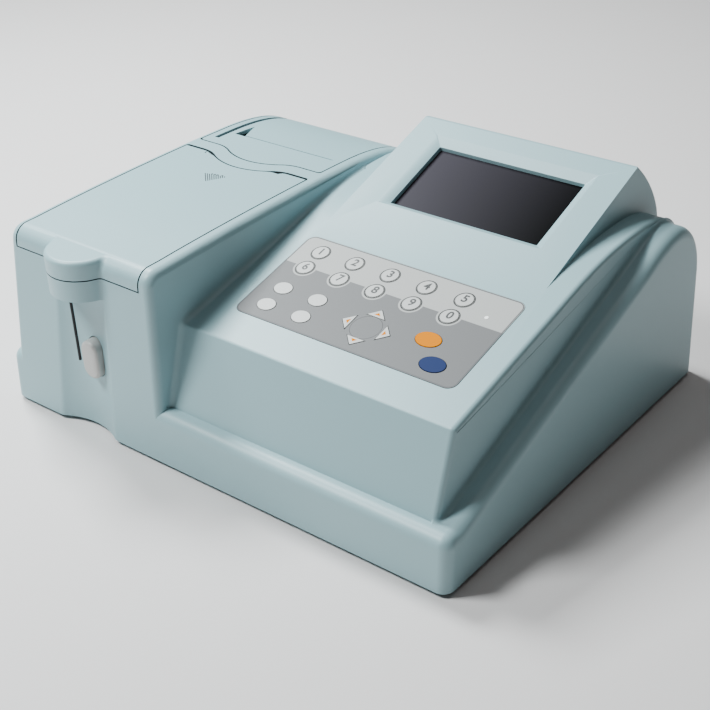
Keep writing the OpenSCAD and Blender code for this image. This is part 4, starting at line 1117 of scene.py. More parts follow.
BOARD = Finish("circuit_board", (38, 98, 62), rough=0.4, vary=0.12, pattern=Pattern.BOARD)
FLOOR = Finish("floor", (224, 219, 218), rough=0.9, vary=0.01, grain=200, bump=0.0)
PLAIN_BOARD = Finish("green_board", (38, 98, 62), rough=0.4, vary=0.12)

# The finishes of the nodes that are shown as they were built.
NODE_FINISHES: dict[str, Finish] = {
    "bottom_plate": STEEL, "rear_panel": STEEL, "optics_bracket": STEEL, "case_screws": BRIGHT,
    "serial_socket": BRIGHT, "lid_hinge_pins": BRIGHT, "rubber_feet": RUBBER,
    "platen_roller": RUBBER, "mains_inlet": BLACK, "power_rocker": BLACK, "fan_frame": BLACK,
    "fan_rotor": BLACK, "trigger_switch": BLACK, "filter_wheel": BLACK, "cell_block": BLACK,
    "sample_tub": DARK_TRAY, "printer_frame": DARK_TRAY, "power_supply": BOARD,
    "main_board": BOARD, "key_board": PLAIN_BOARD, "detector_board": PLAIN_BOARD,
    "display_window": SCREEN, "display_module": STEEL, "lamp_housing": STEEL,
    "filter_motor": STEEL, "pump_motor": STEEL, "lamp": GLASS, "flow_cell": GLASS,
    "optical_filters": FILTERS, "pump_head": WHITE, "pump_rotor": WHITE, "pump_tube": SILICONE,
    "sample_tube": SILICONE, "needle": DARK_STEEL, "paper_roll": PAPER,
}


def dress(thing: bpy.types.Object, finish: Finish) -> None:
    """Gives a piece or a node a finish.

    Args:
        thing: The piece or the node.
        finish: Its finish.
    """
    if not thing.material_slots:
        thing.data.materials.append(finish.material())
    for material_slot in thing.material_slots:
        material_slot.material = finish.material()


def deliver(piece: bpy.types.Object, body: str, finish: Optional[Finish], slot_name: str,
            *nodes: str) -> None:
    """Sets a finished piece in the shared frame, on its body.

    Args:
        piece: The piece, in the case's own drawing.
        body: The body that it rides on.
        finish: Its finish, or None where it has been dressed.
        slot_name: The record's material slot, which is not used.
        nodes: The nodes that it stands for.
    """
    stand(piece, Matrix.Translation(CASE_ORIGIN))
    if finish:
        dress(piece, finish)
    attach(piece, body)
    if nodes:
        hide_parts(*nodes)
    LOG.info("%s on %s, %d faces", piece.name, body, len(piece.data.polygons))


# ---- the moulded case


@dataclass
class CaseForm:
    """The case's rounded outer form, with the lid, the nose and the cover still in one."""

    shape: CaseShape = CASE
    sunk: float = 0.003
    shoulder_r: float = 0.0075
    body_side_r: float = 0.0033
    tower_side_r: float = 0.0055
    bezel_r: float = 0.002
    crease_r: float = 0.003
    tower_crease_r: float = 0.004
    nose_r: float = 0.0235
    nose_out: float = 0.0093
    nose_floor: float = 0.101
    nose_top: float = 0.128
    nose_edge_r: float = 0.003
    nose_fillet_r: float = 0.004
    lid_mid: float = 0.0774
    groove_r: float = 0.0493
    groove_depth: float = 0.0071
    groove_back_lean: float = 2.2
    groove_side_lean: float = 2.96
    groove_edge_r: float = 0.008
    groove_shift: float = -0.0041
    groove_reach: float = 0.050
    groove_levels: Sequence[float] = (-0.005, 0.020, 0.045, 0.070)
    nose_levels: Sequence[float] = (0.110, 0.1175, 0.1195, 0.1215, 0.1232, 0.1248)
    nose_root: float = 0.006
    nose_face_end: float = 0.030
    flare: float = 0.001
    body_overlap: float = 0.020
    body_low_z: float = 0.0115
    body_rear_in: float = 0.0065
    body_rear_z: float = 0.072
    bezel_side: float = 0.001
    bezel_lean_in: float = 0.0026
    bezel_lean_z: float = 0.170
    bezel_low_z: float = 0.076
    bezel_front: float = 0.002
    bezel_rear_in: float = 0.02
    bezel_least_w: float = 0.1
    crease_x: float = 0.13
    crease_back: float = 0.277
    tower_crease: Point = (0.010, 0.262)
    wall_slack: float = 0.0005

    @property
    def nose_centre(self) -> Point:
        """Axis of the half-round nose."""
        return self.lid_mid, self.nose_r - self.nose_out

    @property
    def body_right(self) -> float:
        """Right wall of the body under the deck."""
        return self.shape.width - self.shape.shoulder_w

    @property
    def body_left(self) -> float:
        """Left end of the body, inside the tower."""
        return self.shape.tower_w - self.body_overlap

    def base(self) -> bpy.types.Object:
        """The base with its two shoulders, rounded along both sides.

        Returns:
            The base.
        """
        piece = prism("base", self.shape.shoulder(), Axis.X, 0, self.shape.width)

        def radius(a: Vector, b: Vector, angle: float) -> float:
            """Radius of the edge from a to b.

            Args:
                a: One end of the edge.
                b: Its other end.
                angle: Its bend, in degrees.

            Returns:
                The radius, or 0 to leave it.
            """
            side = max(abs(a.x - b.x), min(a.x, self.shape.width - a.x)) < TOUCH
            if not side or angle < LEAST_BEND or max(a.z, b.z) < TOUCH:
                return 0
            return self.shoulder_r

        round_edges(piece, radius, 6)
        return piece

    def body(self) -> bpy.types.Object:
        """The body under the deck.

        Returns:
            The body.
        """
        piece = prism("body", self.shape.body(self.sunk), Axis.X, self.body_left,
                      self.body_right)

        def radius(a: Vector, b: Vector, angle: float) -> float:
            """Radius of the edge from a to b.

            Args:
                a: One end of the edge.
                b: Its other end.
                angle: Its bend, in degrees.

            Returns:
                The radius, or 0 to leave it.
            """
            if min(a.x, b.x) < self.body_right - TOUCH or angle < LEAST_BEND:
                return 0
            low = max(a.z, b.z) < self.body_low_z
            rear = min(a.y, b.y) > self.shape.depth - self.body_rear_in
            if low or rear and min(a.z, b.z) < self.body_rear_z:
                return 0
            return self.body_side_r

        round_edges(piece, radius, 5)
        return piece

    def lean_tower(self, piece: bpy.types.Object, wall: float = 0.0) -> None:
        """Cuts a tower along its leaning left wall, or a wall's thickness inside it.

        Args:
            piece: The tower.
            wall: How far inside the wall it is cut.
        """
        lean = math.radians(self.shape.tower_draft)
        slice_off(piece, Vector((self.shape.tower_foot + wall / math.cos(lean), 0, 0)),
                  Vector((-math.cos(lean), 0, math.sin(lean))))

    def tower(self) -> bpy.types.Object:
        """The tower, whose left wall leans inwards.

        Returns:
            The tower.
        """
        shape = self.shape
        piece = prism("tower", shape.tower(), Axis.X, 0, shape.tower_w)
        self.lean_tower(piece)

        def radius(a: Vector, b: Vector, angle: float) -> float:
            """Radius of the edge from a to b.

            Args:
                a: One end of the edge.
                b: Its other end.
                angle: Its bend, in degrees.

            Returns:
                The radius, or 0 to leave it.
            """
            right = min(a.x, b.x) > shape.tower_w - TOUCH
            left = all(abs(p.x - shape.tower_foot - p.z * tangent(shape.tower_draft)) < TOUCH
                       for p in (a, b))
            if not (right or left) or angle < LEAST_BEND or max(a.z, b.z) < TOUCH:
                return 0
            return self.tower_side_r

        round_edges(piece, radius, 6)
        return piece

    def bezel(self) -> bpy.types.Object:
        """The display housing without its screen.

        Returns:
            The display housing.
        """
        shape = self.shape
        left = shape.bezel_x - self.bezel_side
        right = shape.bezel_x + shape.bezel_w + self.bezel_side
        piece = prism("bezel", shape.bezel(self.sunk), Axis.X, left, right)
        fold_z = shape.bezel_fold[1]
        draft = math.atan2(self.bezel_lean_in, self.bezel_lean_z - fold_z)
        for x, side in ((left, -1), (right, 1)):
            slice_off(piece, Vector((x, 0, fold_z)),
                      Vector((side * math.cos(draft), 0, math.sin(draft))))
        top_y, top_z = shape.bezel_top

        def radius(a: Vector, b: Vector, angle: float) -> float:
            """Radius of the edge from a to b.

            Args:
                a: One end of the edge.
                b: Its other end.
                angle: Its bend, in degrees.

            Returns:
                The radius, or 0 to leave it.
            """
            front = max(a.y, b.y) < shape.bezel_fold[0] + self.bezel_front
            if angle < LEAST_BEND or max(a.z, b.z) < self.bezel_low_z or front:
                return 0
            if abs(a.x - b.x) > self.bezel_least_w:
                return self.bezel_r if min(a.z, b.z) > top_z - self.bezel_side else 0
            if min(a.z, b.z) < fold_z and min(a.y, b.y) < top_y - self.bezel_rear_in:
                return 0
            return self.bezel_r

        round_edges(piece, radius, 6)
        return piece

    def face_y(self, z: float) -> float:
        """Distance of the tower's front face at height z, rounding included.

        Args:
            z: Height.

        Returns:
            The distance.
        """
        outline = self.shape.tower()
        for (y0, z0), (y1, z1) in zip(outline[:-1], outline[1:]):
            if y1 < self.nose_face_end and z1 <= z <= z0:
                return y0 + (y1 - y0) * (z0 - z) / (z0 - z1)
        return self.shape.front_y(z)

    def nose_outline(self, z: float) -> Outline:
        """The nose at height z, with the hollows that lead into the front face.

        Args:
            z: Height.

        Returns:
            The outline, which reaches into the tower.
        """
        x0, y0 = self.nose_centre
        face = self.face_y(z)
        sunk = max(0.0, z - self.nose_top + self.nose_edge_r)
        radius = self.nose_r - self.nose_edge_r + math.sqrt(self.nose_edge_r ** 2 - sunk ** 2)
        fillet = self.nose_fillet_r
        side_y = face - fillet
        side_x = math.sqrt((radius + fillet) ** 2 - (y0 - side_y) ** 2)
        turn = math.atan2(y0 - side_y, side_x)
        right = [(x0 + side_x - fillet * math.cos(turn + (math.pi / 2 - turn) * i / 6),
                  side_y + fillet * math.sin(turn + (math.pi / 2 - turn) * i / 6)) for i in range(7)]
        front = [(x0 + radius * math.sin(angle), y0 - radius * math.cos(angle))
                 for angle in ((math.pi / 2 - turn) * i / 24 for i in range(-23, 24))]
        left = [(2 * x0 - x, y) for x, y in reversed(right)]
        reach = side_x + self.flare
        root = [(reach, face + HAIR), (reach, face + self.nose_root)]
        return ([(x0 - x, y) for x, y in reversed(root)] + left + front + right
                + [(x0 + x, y) for x, y in root])

    def nose(self) -> bpy.types.Object:
        """The half-round nose over the needle, as high as the tower's front.

        Returns:
            The nose.
        """
        heights = [self.nose_floor, *self.nose_levels]
        heights += [self.nose_top - self.nose_edge_r * (1 - math.sin(math.radians(15 * i)))
                    for i in range(7)]
        return loft("nose", [(z, self.nose_outline(z)) for z in sorted(set(heights))])

    def groove_outline(self, z: float, grown: float, soft: float) -> Outline:
        """The hollow of the front face at height z.

        Args:
            z: Height.
            grown: How much wider the hollow is made.
            soft: Radius of the rounding along its edges.

        Returns:
            The outline, which reaches out in front of the face.
        """
        x0 = self.lid_mid + self.groove_shift + z * tangent(self.groove_side_lean)
        y0 = self.groove_depth - self.groove_r + z * tangent(self.groove_back_lean)
        face = self.shape.front_y(z)
        radius = self.groove_r + grown
        side_y = face + soft
        side_x = math.sqrt((radius + soft) ** 2 - (side_y - y0) ** 2)
        turn = math.atan2(side_x, side_y - y0)
        right = [(x0 + side_x - soft * math.sin(turn * i / 8),
                  side_y - soft * math.cos(turn * i / 8)) for i in range(9)]
        back = [(x0 + radius * math.sin(turn * (1 - i / 16)),
                 y0 + radius * math.cos(turn * (1 - i / 16))) for i in range(1, 32)]
        left = [(2 * x0 - x, y) for x, y in reversed(right)]
        reach = side_x + self.flare
        return ([(x0 - reach, face - self.groove_reach), (x0 + reach, face - self.groove_reach),
                 (x0 + reach, face - HAIR)] + right + back + left + [(x0 - reach, face - HAIR)])

    def groove(self, grown: float, soft: float) -> bpy.types.Object:
        """The bar that hollows the front face under the nose."""
        heights = [*self.groove_levels, self.nose_floor]
        return loft("groove", [(z, self.groove_outline(z, grown, soft)) for z in heights])

    def crease(self, radius: float, least: float,
               where: Callable[[Vector], bool]) -> RadiusOf:
        """A rule that rounds the hollow edges of a place.

        Args:
            radius: Radius of the rounding.
            least: The least bend, in degrees.
            where: Tells whether a point is in the place.

        Returns:
            The rule.
        """
        def rule(a: Vector, b: Vector, angle: float) -> float:
            """Radius of the edge from a to b."""
            return radius if angle < -least and where(a) and where(b) else 0
        return rule

    def merged(self, form: bpy.types.Object, piece: bpy.types.Object,
               how: Join = Join.ADD) -> bpy.types.Object:
        """Combines a piece with the form and tidies the faces.

        Args:
            form: The form.
            piece: The piece.
            how: How they are combined.

        Returns:
            The form.
        """
        form = combine(form, piece, how)
        tidy_faces(form)
        return form

    def build(self) -> bpy.types.Object:
        """Builds the whole outer form.

        Returns:
            The form.
        """
        form = self.merged(self.base(), self.body())
        round_edges(form, self.crease(
            self.crease_r, 25, lambda p: p.x > self.crease_x and p.y < self.crease_back), 5)
        form = self.merged(form, self.tower())
        tower_x, (front, back) = self.shape.tower_w, self.tower_crease
        round_edges(form, self.crease(
            self.tower_crease_r, 30,
            lambda p: abs(p.x - tower_x) < 10 * TOUCH and front < p.y < back), 5)
        form = self.merged(form, self.bezel())
        form = self.merged(form, self.nose())
        form = self.merged(form, self.groove(0, self.groove_edge_r), Join.CUT)
        form.name = form.data.name = "case_form"
        return form

    def opened(self, outline: Outline) -> Outline:
        """An outline inside the walls whose floor is moved below the case."""
        floor = self.shape.wall + self.wall_slack
        return [(y, BELOW if z < floor else z) for y, z in inset(outline, self.shape.wall)]

    def inside(self) -> bpy.types.Object:
        """The hollow inside the case's walls, open below.

        Returns:
            The hollow, as a solid.
        """
        shape, wall = self.shape, self.shape.wall
        room = prism("inside", self.opened(shape.shoulder()), Axis.X, wall, shape.width - wall)
        tower = prism("room", self.opened(shape.tower()), Axis.X, wall, shape.tower_w - wall)
        self.lean_tower(tower, wall)
        body = prism("room", inset(shape.body(self.sunk), wall), Axis.X, self.body_left,
                     self.body_right - wall)
        bezel = prism("room", inset(shape.bezel(self.sunk), wall), Axis.X, shape.bezel_x + wall,
                      shape.bezel_x + shape.bezel_w - wall)
        return combine_all(room, (body, tower, bezel), Join.ADD)


def beside(point: Vector, start: Vector, end: Vector) -> float:
    """Distance, seen from above, of a point from the line between two others.

    Args:
        point: The point.
        start: One end of the line.
        end: Its other end.

    Returns:
        The distance.
    """
    way = end - start
    share = max(0.0, min(1.0, (point.xy - start).dot(way) / max(way.length_squared, 1e-12)))
    return (point.xy - start - share * way).length


@dataclass
class Mouldings:
    """The housing, the lid and the printer cover, which share the case's outer form."""

    form: CaseForm
    gap: float = 0.0003
    pull: float = 0.0008
    lid_x: float = 0.0217
    lid_w: float = 0.1114
    lid_t: float = 0.0026
    seam_z: float = 0.115
    lid_back: float = 0.1645
    lid_arch_r: float = 0.0476
    lid_arch_sag: float = 0.0119
    cover_front: float = 0.176
    cover_arch_r: float = 0.045
    cover_arch_sag: float = 0.0111
    arch_blend: float = 0.007
    corner_r: float = 0.0024
    knuckle_r: float = 0.0022
    lid_axis: Point = (0.1618, 0.128193)
    cover_axis: Point = (0.280521, 0.0976765)
    needle_at: Point = (0.083, -0.005)
    trigger_z: float = 0.0535
    trigger_hole: Point = (0.0164, 0.0284)
    slot_y: float = 0.1985
    slot_x: Point = (0.0447, 0.1257)
    slot_w: float = 0.0009
    slot_low_z: float = 0.100
    notch_x: Sequence[float] = (0.0358, 0.0449, 0.0452, 0.0374)
    notch_ahead: Sequence[float] = (-0.0005, -0.0006, 0.0, 0.0190)
    groove_x: Point = (0.0276, 0.0314)
    groove_y: Point = (0.1855, 0.276)
    groove_depth: float = 0.0017
    groove_out: float = 0.002
    groove_room: tuple[Point, float] = ((0.020, 0.040), 0.050)
    groove_core: Point = (0.010, 0.060)
    lining_r: float = 0.002
    rear_x: float = 0.192
    rear_z: float = 0.010
    rear_w: float = 0.140
    rear_h: float = 0.054
    rear_rim: float = 0.004
    rear_slack: float = 0.0006
    rear_reach: float = 0.007
    lid_front: float = -0.060
    lid_room: tuple[Place, Place] = ((0, 0.1618, 0.100), (0.150, 0.180, 0.140))
    lid_hollow_z: float = 0.110
    inner_end: float = 0.160
    cover_rear: float = 0.316
    cover_low_z: float = 0.060
    cover_room: float = 0.00265
    cover_pin: Point = (0.0014, 0.0028)
    tilt_at: Point = (0.2, 0.21)
    knuckle_slack: float = 0.00003
    knuckle_gap: float = 0.00035
    arch_half: float = 0.042
    knuckle_taper: float = 0.016
    least_r: float = 0.0001
    swing_from: float = 0.0022
    swing_r: float = 0.0027
    swing_gap: float = 0.0006
    boss_r: Point = (0.004, 0.0045)
    boss_len: Point = (0.005, 0.0062)
    nose_hollow: float = 0.040
    needle_hole: Place = (0.0012, 0.095, 0.030)
    trigger_reach: Point = (BELOW, 0.040)
    key_margin: Point = (0.0065, 0.0032)
    key_depth: float = 0.008
    film_depth: float = 0.001
    recess_up: float = 0.005
    well_inner: tuple[float, float, float, float] = (0.1905, 0.0321, 0.3015, 0.0911)
    well_outer: tuple[float, float, float, float] = (0.1836, 0.0277, 0.3071, 0.0984)
    well_r: float = 0.0006
    well_flare: float = 0.003
    well_depth: float = 0.0085
    frame_box: tuple[Place, Place] = ((0.182, 0.026, -0.006), (0.3095, 0.101, -0.001))
    over: float = 0.001
    upright_up: float = 0.05
    level_up: float = 0.99

    @property
    def lid_right(self) -> float:
        """Right edge of the lid and of the cover."""
        return self.lid_x + self.lid_w

    @property
    def middle(self) -> float:
        """Middle of the lid and of the cover."""
        return self.lid_x + self.lid_w / 2

    def arch(self, edge: float, sag: float, radius: float, steps: int = 32) -> Outline:
        """An arch that bulges forwards from a straight edge, with soft ends.

        Args:
            edge: Distance of the straight edge.
            sag: How far the arch bulges.
            radius: Its radius.
            steps: Number of chords in the arch.

        Returns:
            Its points, from left to right.
        """
        centre = edge - sag + radius
        half = math.acos((radius - sag) / radius) - self.arch_blend / radius
        top = Vector((radius * math.sin(half), centre - radius * math.cos(half)))
        leg = (edge - top.y) / math.sin(half)
        bend = top + leg * Vector((math.cos(half), math.sin(half)))
        foot = bend + Vector((leg, 0))
        right = []
        for i in range(1, 13):
            t = i / 12
            spot = (1 - t) ** 2 * top + 2 * t * (1 - t) * bend + t * t * foot
            right.append((spot.x, spot.y))
        middle = [(radius * math.sin(half * (2 * i / steps - 1)),
                   centre - radius * math.cos(half * (2 * i / steps - 1)))
                  for i in range(steps + 1)]
        points = [(-x, y) for x, y in reversed(right)] + middle + right
        return [(self.middle + x, y) for x, y in points]

    def behind_axis(self, x: float) -> float:
        """How far the lid's rear edge lies behind its axis at x, less than 0 in front.

        Args:
            x: Distance from the case's left side.

        Returns:
            The distance.
        """
        points = self.arch(self.lid_back, self.lid_arch_sag, self.lid_arch_r)
        for (x0, y0), (x1, y1) in zip(points[:-1], points[1:]):
            if x0 <= x <= x1:
                return y0 + (y1 - y0) * (x - x0) / (x1 - x0) - self.lid_axis[0]
        return self.lid_back - self.lid_axis[0]

    def lid_plan(self, grown: float) -> Outline:
        """Outline of the lid from above, grown by a distance.

        Args:
            grown: The distance, less than 0 to shrink it.

        Returns:
            The outline, anticlockwise.
        """
        left, right = self.lid_x - grown, self.lid_right + grown
        back = self.lid_back + grown
        arch = self.arch(back, self.lid_arch_sag, self.lid_arch_r - grown)[::-1]
        front = self.lid_front
        return ([(left, front), (right, front)]
                + rounded((right, front), (right, back), arch[0], self.corner_r)
                + arch + rounded(arch[-1], (left, back), (left, front), self.corner_r))

    def cover_plan(self, grown: float) -> Outline:
        """Outline of the printer cover from above, grown by a distance.

        Args:
            grown: The distance, less than 0 to shrink it.

        Returns:
            The outline, anticlockwise.
        """
        left, right = self.lid_x - grown, self.lid_right + grown
        front, rear = self.cover_front - grown, self.cover_rear
        arch = self.arch(front, self.cover_arch_sag, self.cover_arch_r + grown)
        return (rounded((left, rear), (left, front), arch[0], self.corner_r) + arch
                + rounded(arch[-1], (right, front), (right, rear), self.corner_r)
                + [(right, rear), (left, rear)])

    @property
    def cover_tilt(self) -> Vector:
        """Direction across the cover's hinge plane, which faces out of the case.

        Returns:
            The direction, with a length of 1.
        """
        controls = [Vector(c) for c in self.form.shape.tower_rear()]
        here, there = (Vector(bezier(controls, t)) for t in self.tilt_at)
        along = (there - here).normalized()
        return Vector((0, along.x, along.y))

    def bar(self, name: str, start: Vector, axis: Axis, radius: float, length: float,
            steps: int = 32) -> bpy.types.Object:
        """A round bar from a point along an axis.

        Args:
            name: Name of the bar.
            start: Centre of its first end.
            axis: Its axis.
            radius: Its radius.
            length: Its length.
            steps: Number of faces round it.

        Returns:
            The bar.
        """
        across = {Axis.X: (start.y, start.z), Axis.Y: (start.x, start.z), Axis.Z: (start.x, start.y)}
        first = {Axis.X: start.x, Axis.Y: start.y, Axis.Z: start.z}[axis]
        return prism(name, circle(across[axis], radius, steps), axis, first, first + length)

    def screen_well(self) -> bpy.types.Object:
        """The flared well in front of the screen, in the display's face.

        Returns:
            The well, as a solid.
        """
        inner, outer = (rounded_box(*box, self.well_r, 4)
                        for box in (self.well_inner, self.well_outer))
        share = self.over / self.well_flare
        wide = [(x + (x - a) * share, y + (y - b) * share)
                for (x, y), (a, b) in zip(outer, inner)]
        levels = [(-self.well_depth, inner), (-self.well_flare, inner), (0.0, outer),
                  (self.over, wide)]
        return stand(loft("well", levels), FACE)

    def rear_frame(self, y: float) -> list[bpy.types.Object]:
        """The rim round the rear opening and the opening itself, at distance y.

        Args:
            y: Distance of the rim's inner face.

        Returns:
            The rim, which is added, and the opening.
        """
        x, z, rim = self.rear_x, self.rear_z, self.rear_rim
        right, top = x + self.rear_w, z + self.rear_h
        wall = self.form.shape.wall
        return [block("rim", (x - rim, y, z - rim), (right + rim, y + wall, top + rim)),
                block("cut", (x, y - wall, z), (right, self.form.shape.depth + self.rear_reach, top))]

    def key_room(self) -> list[bpy.types.Object]:
        """The recess for the keypad film and the opening under its keys.

        Returns:
            The recess and the opening, as solids.
        """
        pad = Keypad()
        (x, s), deep = self.key_margin, self.key_depth
        recess = prism("cut", pad.outline(pad.seam), Axis.Z, -self.film_depth, self.recess_up)
        opening = block("cut", (pad.left + x, pad.bottom + s, -deep),
                        (pad.left + pad.width - x, pad.bottom + pad.height - s, self.over))
        return [stand(recess, DECK), stand(opening, DECK)]

    def hollow(self) -> bpy.types.Object:
        """The room under the lid and the printer cover."""
        return prism("inner", inset(self.form.shape.tower(), self.lid_t), Axis.X, BELOW,
                     self.inner_end)

    def housing(self, form: bpy.types.Object) -> bpy.types.Object:
        """The one-piece upper case.

        Args:
            form: The case's outer form, which is kept.

        Returns:
            The housing.
        """
        shape, wall = self.form.shape, self.form.shape.wall
        nose_x, nose_y = self.form.nose_centre
        piece = combine(copy_of(form, "analyzer_housing"), self.form.inside(), Join.CUT)
        lining = combine(copy_of(form, "lining"), self.form.groove(wall, self.lining_r), Join.COMMON)
        screen_frame = stand(block("frame", *self.frame_box), FACE)
        rim, rear_cut = self.rear_frame(
            shape.rear_y(self.rear_z + self.rear_h) - wall - self.rear_slack)
        piece = combine_all(piece, (lining, screen_frame, rim), Join.ADD)
        for axis, radius in zip((self.lid_axis, self.cover_axis), self.boss_r):
            for x, length in zip((self.lid_x - self.boss_len[0], self.lid_right), self.boss_len):
                boss = self.bar("boss", Vector((x, *axis)), Axis.X, radius, length)
                piece = combine(piece, combine(boss, form, Join.COMMON, keep_tool=True), Join.ADD)
        hole_r, hole_z, hole_len = self.needle_hole
        cover_cut = prism("cut", self.cover_plan(self.gap), Axis.Z, self.cover_low_z, ABOVE)
        tilt = self.cover_tilt
        slice_off(cover_cut, Vector((0, *self.cover_axis)) - tilt * self.cover_room, -tilt)
        piece = combine_all(piece, [
            prism("cut", self.lid_plan(self.gap), Axis.Z, self.seam_z, ABOVE),
            self.bar("cut", Vector((nose_x, nose_y, self.form.nose_floor + wall)), Axis.Z,
                     self.form.nose_r - wall, self.nose_hollow, 48),
            self.bar("cut", Vector((*self.needle_at, hole_z)), Axis.Z, hole_r, hole_len),
            prism("cut", [(self.needle_at[0] + x, self.trigger_z + z)
                          for x, z in oval(*self.trigger_hole)], Axis.Y, *self.trigger_reach),
            *self.key_room(), self.screen_well(), rear_cut, cover_cut], Join.CUT)
        smooth(piece, 21)
        return piece

    def turned(self, name: str, levels: Sequence[tuple[float, float]]) -> bpy.types.Object:
        """A round piece about the lid's axis.

        Args:
            name: Name of the piece.
            levels: Places along the axis, each with the radius there.

        Returns:
            The piece.
        """
        piece = loft(name, [(x, circle((0, 0), radius, 48)) for x, radius in levels])
        place = Matrix.Translation((0, *self.lid_axis))
        return stand(piece, place @ Matrix.Rotation(math.radians(90), 4, "Y"))

    def swing_room(self) -> bpy.types.Object:
        """Room about the lid's axis in which it turns past the housing's arched edge.

        Returns:
            The room, as a solid.
        """
        levels = []
        for i in range(-30, 31):
            x = self.middle + self.arch_half * i / 30
            behind = self.behind_axis(x)
            if behind < self.swing_from:
                levels.append((x, math.hypot(min(behind, 0.0), self.swing_r) + self.swing_gap))
        return self.turned("room", levels)

    def knuckle(self, side: int) -> bpy.types.Object:
        """The round rear edge of the lid on one side, which tapers towards the arch.

        Args:
            side: -1 on the left, 1 on the right.

        Returns:
            The edge.
        """
        end = self.middle + side * (self.lid_w / 2 - self.pull)
        full_r = self.knuckle_r - self.knuckle_slack
        levels = [(end, full_r)]
        for i in range(41):
            x = self.middle + side * (self.arch_half - self.knuckle_taper * i / 40)
            radius = min(full_r, self.behind_axis(x) - self.knuckle_gap)
            if radius > self.least_r:
                levels.append((x, radius))
        return self.turned("knuckle", sorted(levels))

    def lid(self, form: bpy.types.Object) -> bpy.types.Object:
        """The lid of the sample bay with the nose's upper half.

        Args:
            form: The case's outer form, which is kept.

        Returns:
            The lid.
        """
        nose_x, nose_y = self.form.nose_centre
        plan = prism("plan", self.lid_plan(-self.pull), Axis.Z, self.seam_z + self.pull, ABOVE)
        piece = combine(copy_of(form, "analyzer_lid"), plan, Join.COMMON)
        room = combine(self.hollow(), block("rear", *self.lid_room), Join.ADD)
        piece = combine_all(piece, (room, self.swing_room()), Join.CUT)
        piece = combine_all(piece, [self.knuckle(side) for side in (-1, 1)], Join.ADD)
        nose_room = self.bar("cut", Vector((nose_x, nose_y, self.lid_hollow_z)), Axis.Z,
                             self.form.nose_r - self.form.shape.wall,
                             self.form.nose_top - self.lid_t - self.lid_hollow_z, 48)
        piece = combine(piece, nose_room, Join.CUT)
        smooth(piece, 32)
        return piece

    def cover_groove(self) -> bpy.types.Object:
        """The shallow groove along the cover's left side, as a solid to cut.

        Returns:
            The groove.
        """
        shape = self.form.shape
        (left, right), (front, back) = self.groove_x, self.groove_y
        (room_left, room_right), low = self.groove_room
        groove = prism("cut", inset(shape.tower(), -self.groove_out), Axis.X, left, right)
        core = prism("core", inset(shape.tower(), self.groove_depth), Axis.X, *self.groove_core)
        groove = combine(groove, core, Join.CUT)
        part = block("part", (room_left, front, low), (room_right, back, self.inner_end))
        return combine(groove, part, Join.COMMON)

    def cover(self, form: bpy.types.Object) -> bpy.types.Object:
        """The printer cover with its paper slot, finger notch and side groove.

        Args:
            form: The case's outer form, which is kept.

        Returns:
            The cover.
        """
        plan = prism("plan", self.cover_plan(-self.pull), Axis.Z, self.cover_low_z, ABOVE)
        slice_off(plan, Vector((0, *self.cover_axis)), -self.cover_tilt)
        piece = combine(copy_of(form, "analyzer_printer_cover"), plan, Join.COMMON)
        piece = combine(piece, self.hollow(), Join.CUT)
        pin_r, pin_out = self.cover_pin
        for out, radius in ((-self.pull, self.knuckle_r - self.knuckle_slack), (pin_out, pin_r)):
            bar = self.bar("bar", Vector((self.lid_x - out, *self.cover_axis)), Axis.X, radius,
                           self.lid_w + 2 * out)
            piece = combine(piece, bar, Join.ADD)
        notch = [(x, self.slot_y + ahead) for x, ahead in zip(self.notch_x, self.notch_ahead)]
        low, high = self.slot_low_z, self.inner_end
        piece = combine_all(piece, [
            self.cover_groove(),
            block("cut", (self.slot_x[0], self.slot_y, low),
                  (self.slot_x[1], self.slot_y + self.slot_w, high)),
            prism("cut", notch, Axis.Z, low, high)], Join.CUT)
        smooth(piece, 32)
        return piece

    def shade_seam(self, piece: bpy.types.Object, plan: Outline, level: float,
                   finish: Finish = SEAM_PAINTED_SHADE) -> None:
        """Gives the narrow faces inside a seam their darker finish.

        Args:
            piece: The moulding.
            plan: The seam's outline from above.
            level: Height of the seam's lowest face.
            finish: The finish of the painted shade.
        """
        if CASE_PLASTIC.material().name not in piece.data.materials:
            dress(piece, CASE_PLASTIC)
        if finish.material().name not in piece.data.materials:
            piece.data.materials.append(finish.material())
        index = piece.data.materials.find(finish.material().name)
        edges = list(zip(plan, plan[1:] + plan[:1]))
        for face in piece.data.polygons:
            centre = face.center
            if centre.z < level - TOUCH:
                continue
            upright = abs(face.normal.z) < self.upright_up and any(
                beside(centre, Vector(a), Vector(b)) < 5 * TOUCH for a, b in edges)
            flat = abs(face.normal.z) > self.level_up and abs(centre.z - level) < 2 * TOUCH
            if upright or flat:
                face.material_index = index

    def build(self) -> None:
        """Builds the three mouldings and sets them on their bodies."""
        form = self.form.build()
        housing, lid, cover = self.housing(form), self.lid(form), self.cover(form)
        # Painted shade in the seams round the lid and the printer cover.
        self.shade_seam(housing, self.lid_plan(self.gap), self.seam_z)
        self.shade_seam(lid, self.lid_plan(-self.pull), self.seam_z + self.pull)
        self.shade_seam(housing, self.cover_plan(self.gap), self.seam_z)
        self.shade_seam(cover, self.cover_plan(-self.pull), 0.0)
        # Painted shade on the walls of the cover's side groove.
        (left, right), (front, back) = self.groove_x, self.groove_y
        self.shade_seam(cover, [(left, front), (right, front), (right, back), (left, back)], 0.0,
                        GROOVE_PAINTED_SHADE)
        parts = [(housing, "case", "housing"), (lid, "lid", "lid"),
                 (cover, "printer_cover", "printer_cover")]
        for piece, body, node in parts:
            deliver(piece, body, None, "case_plastic", node)
        bpy.data.objects.remove(form)


ARROWS = ("up", "left", "down", "right")


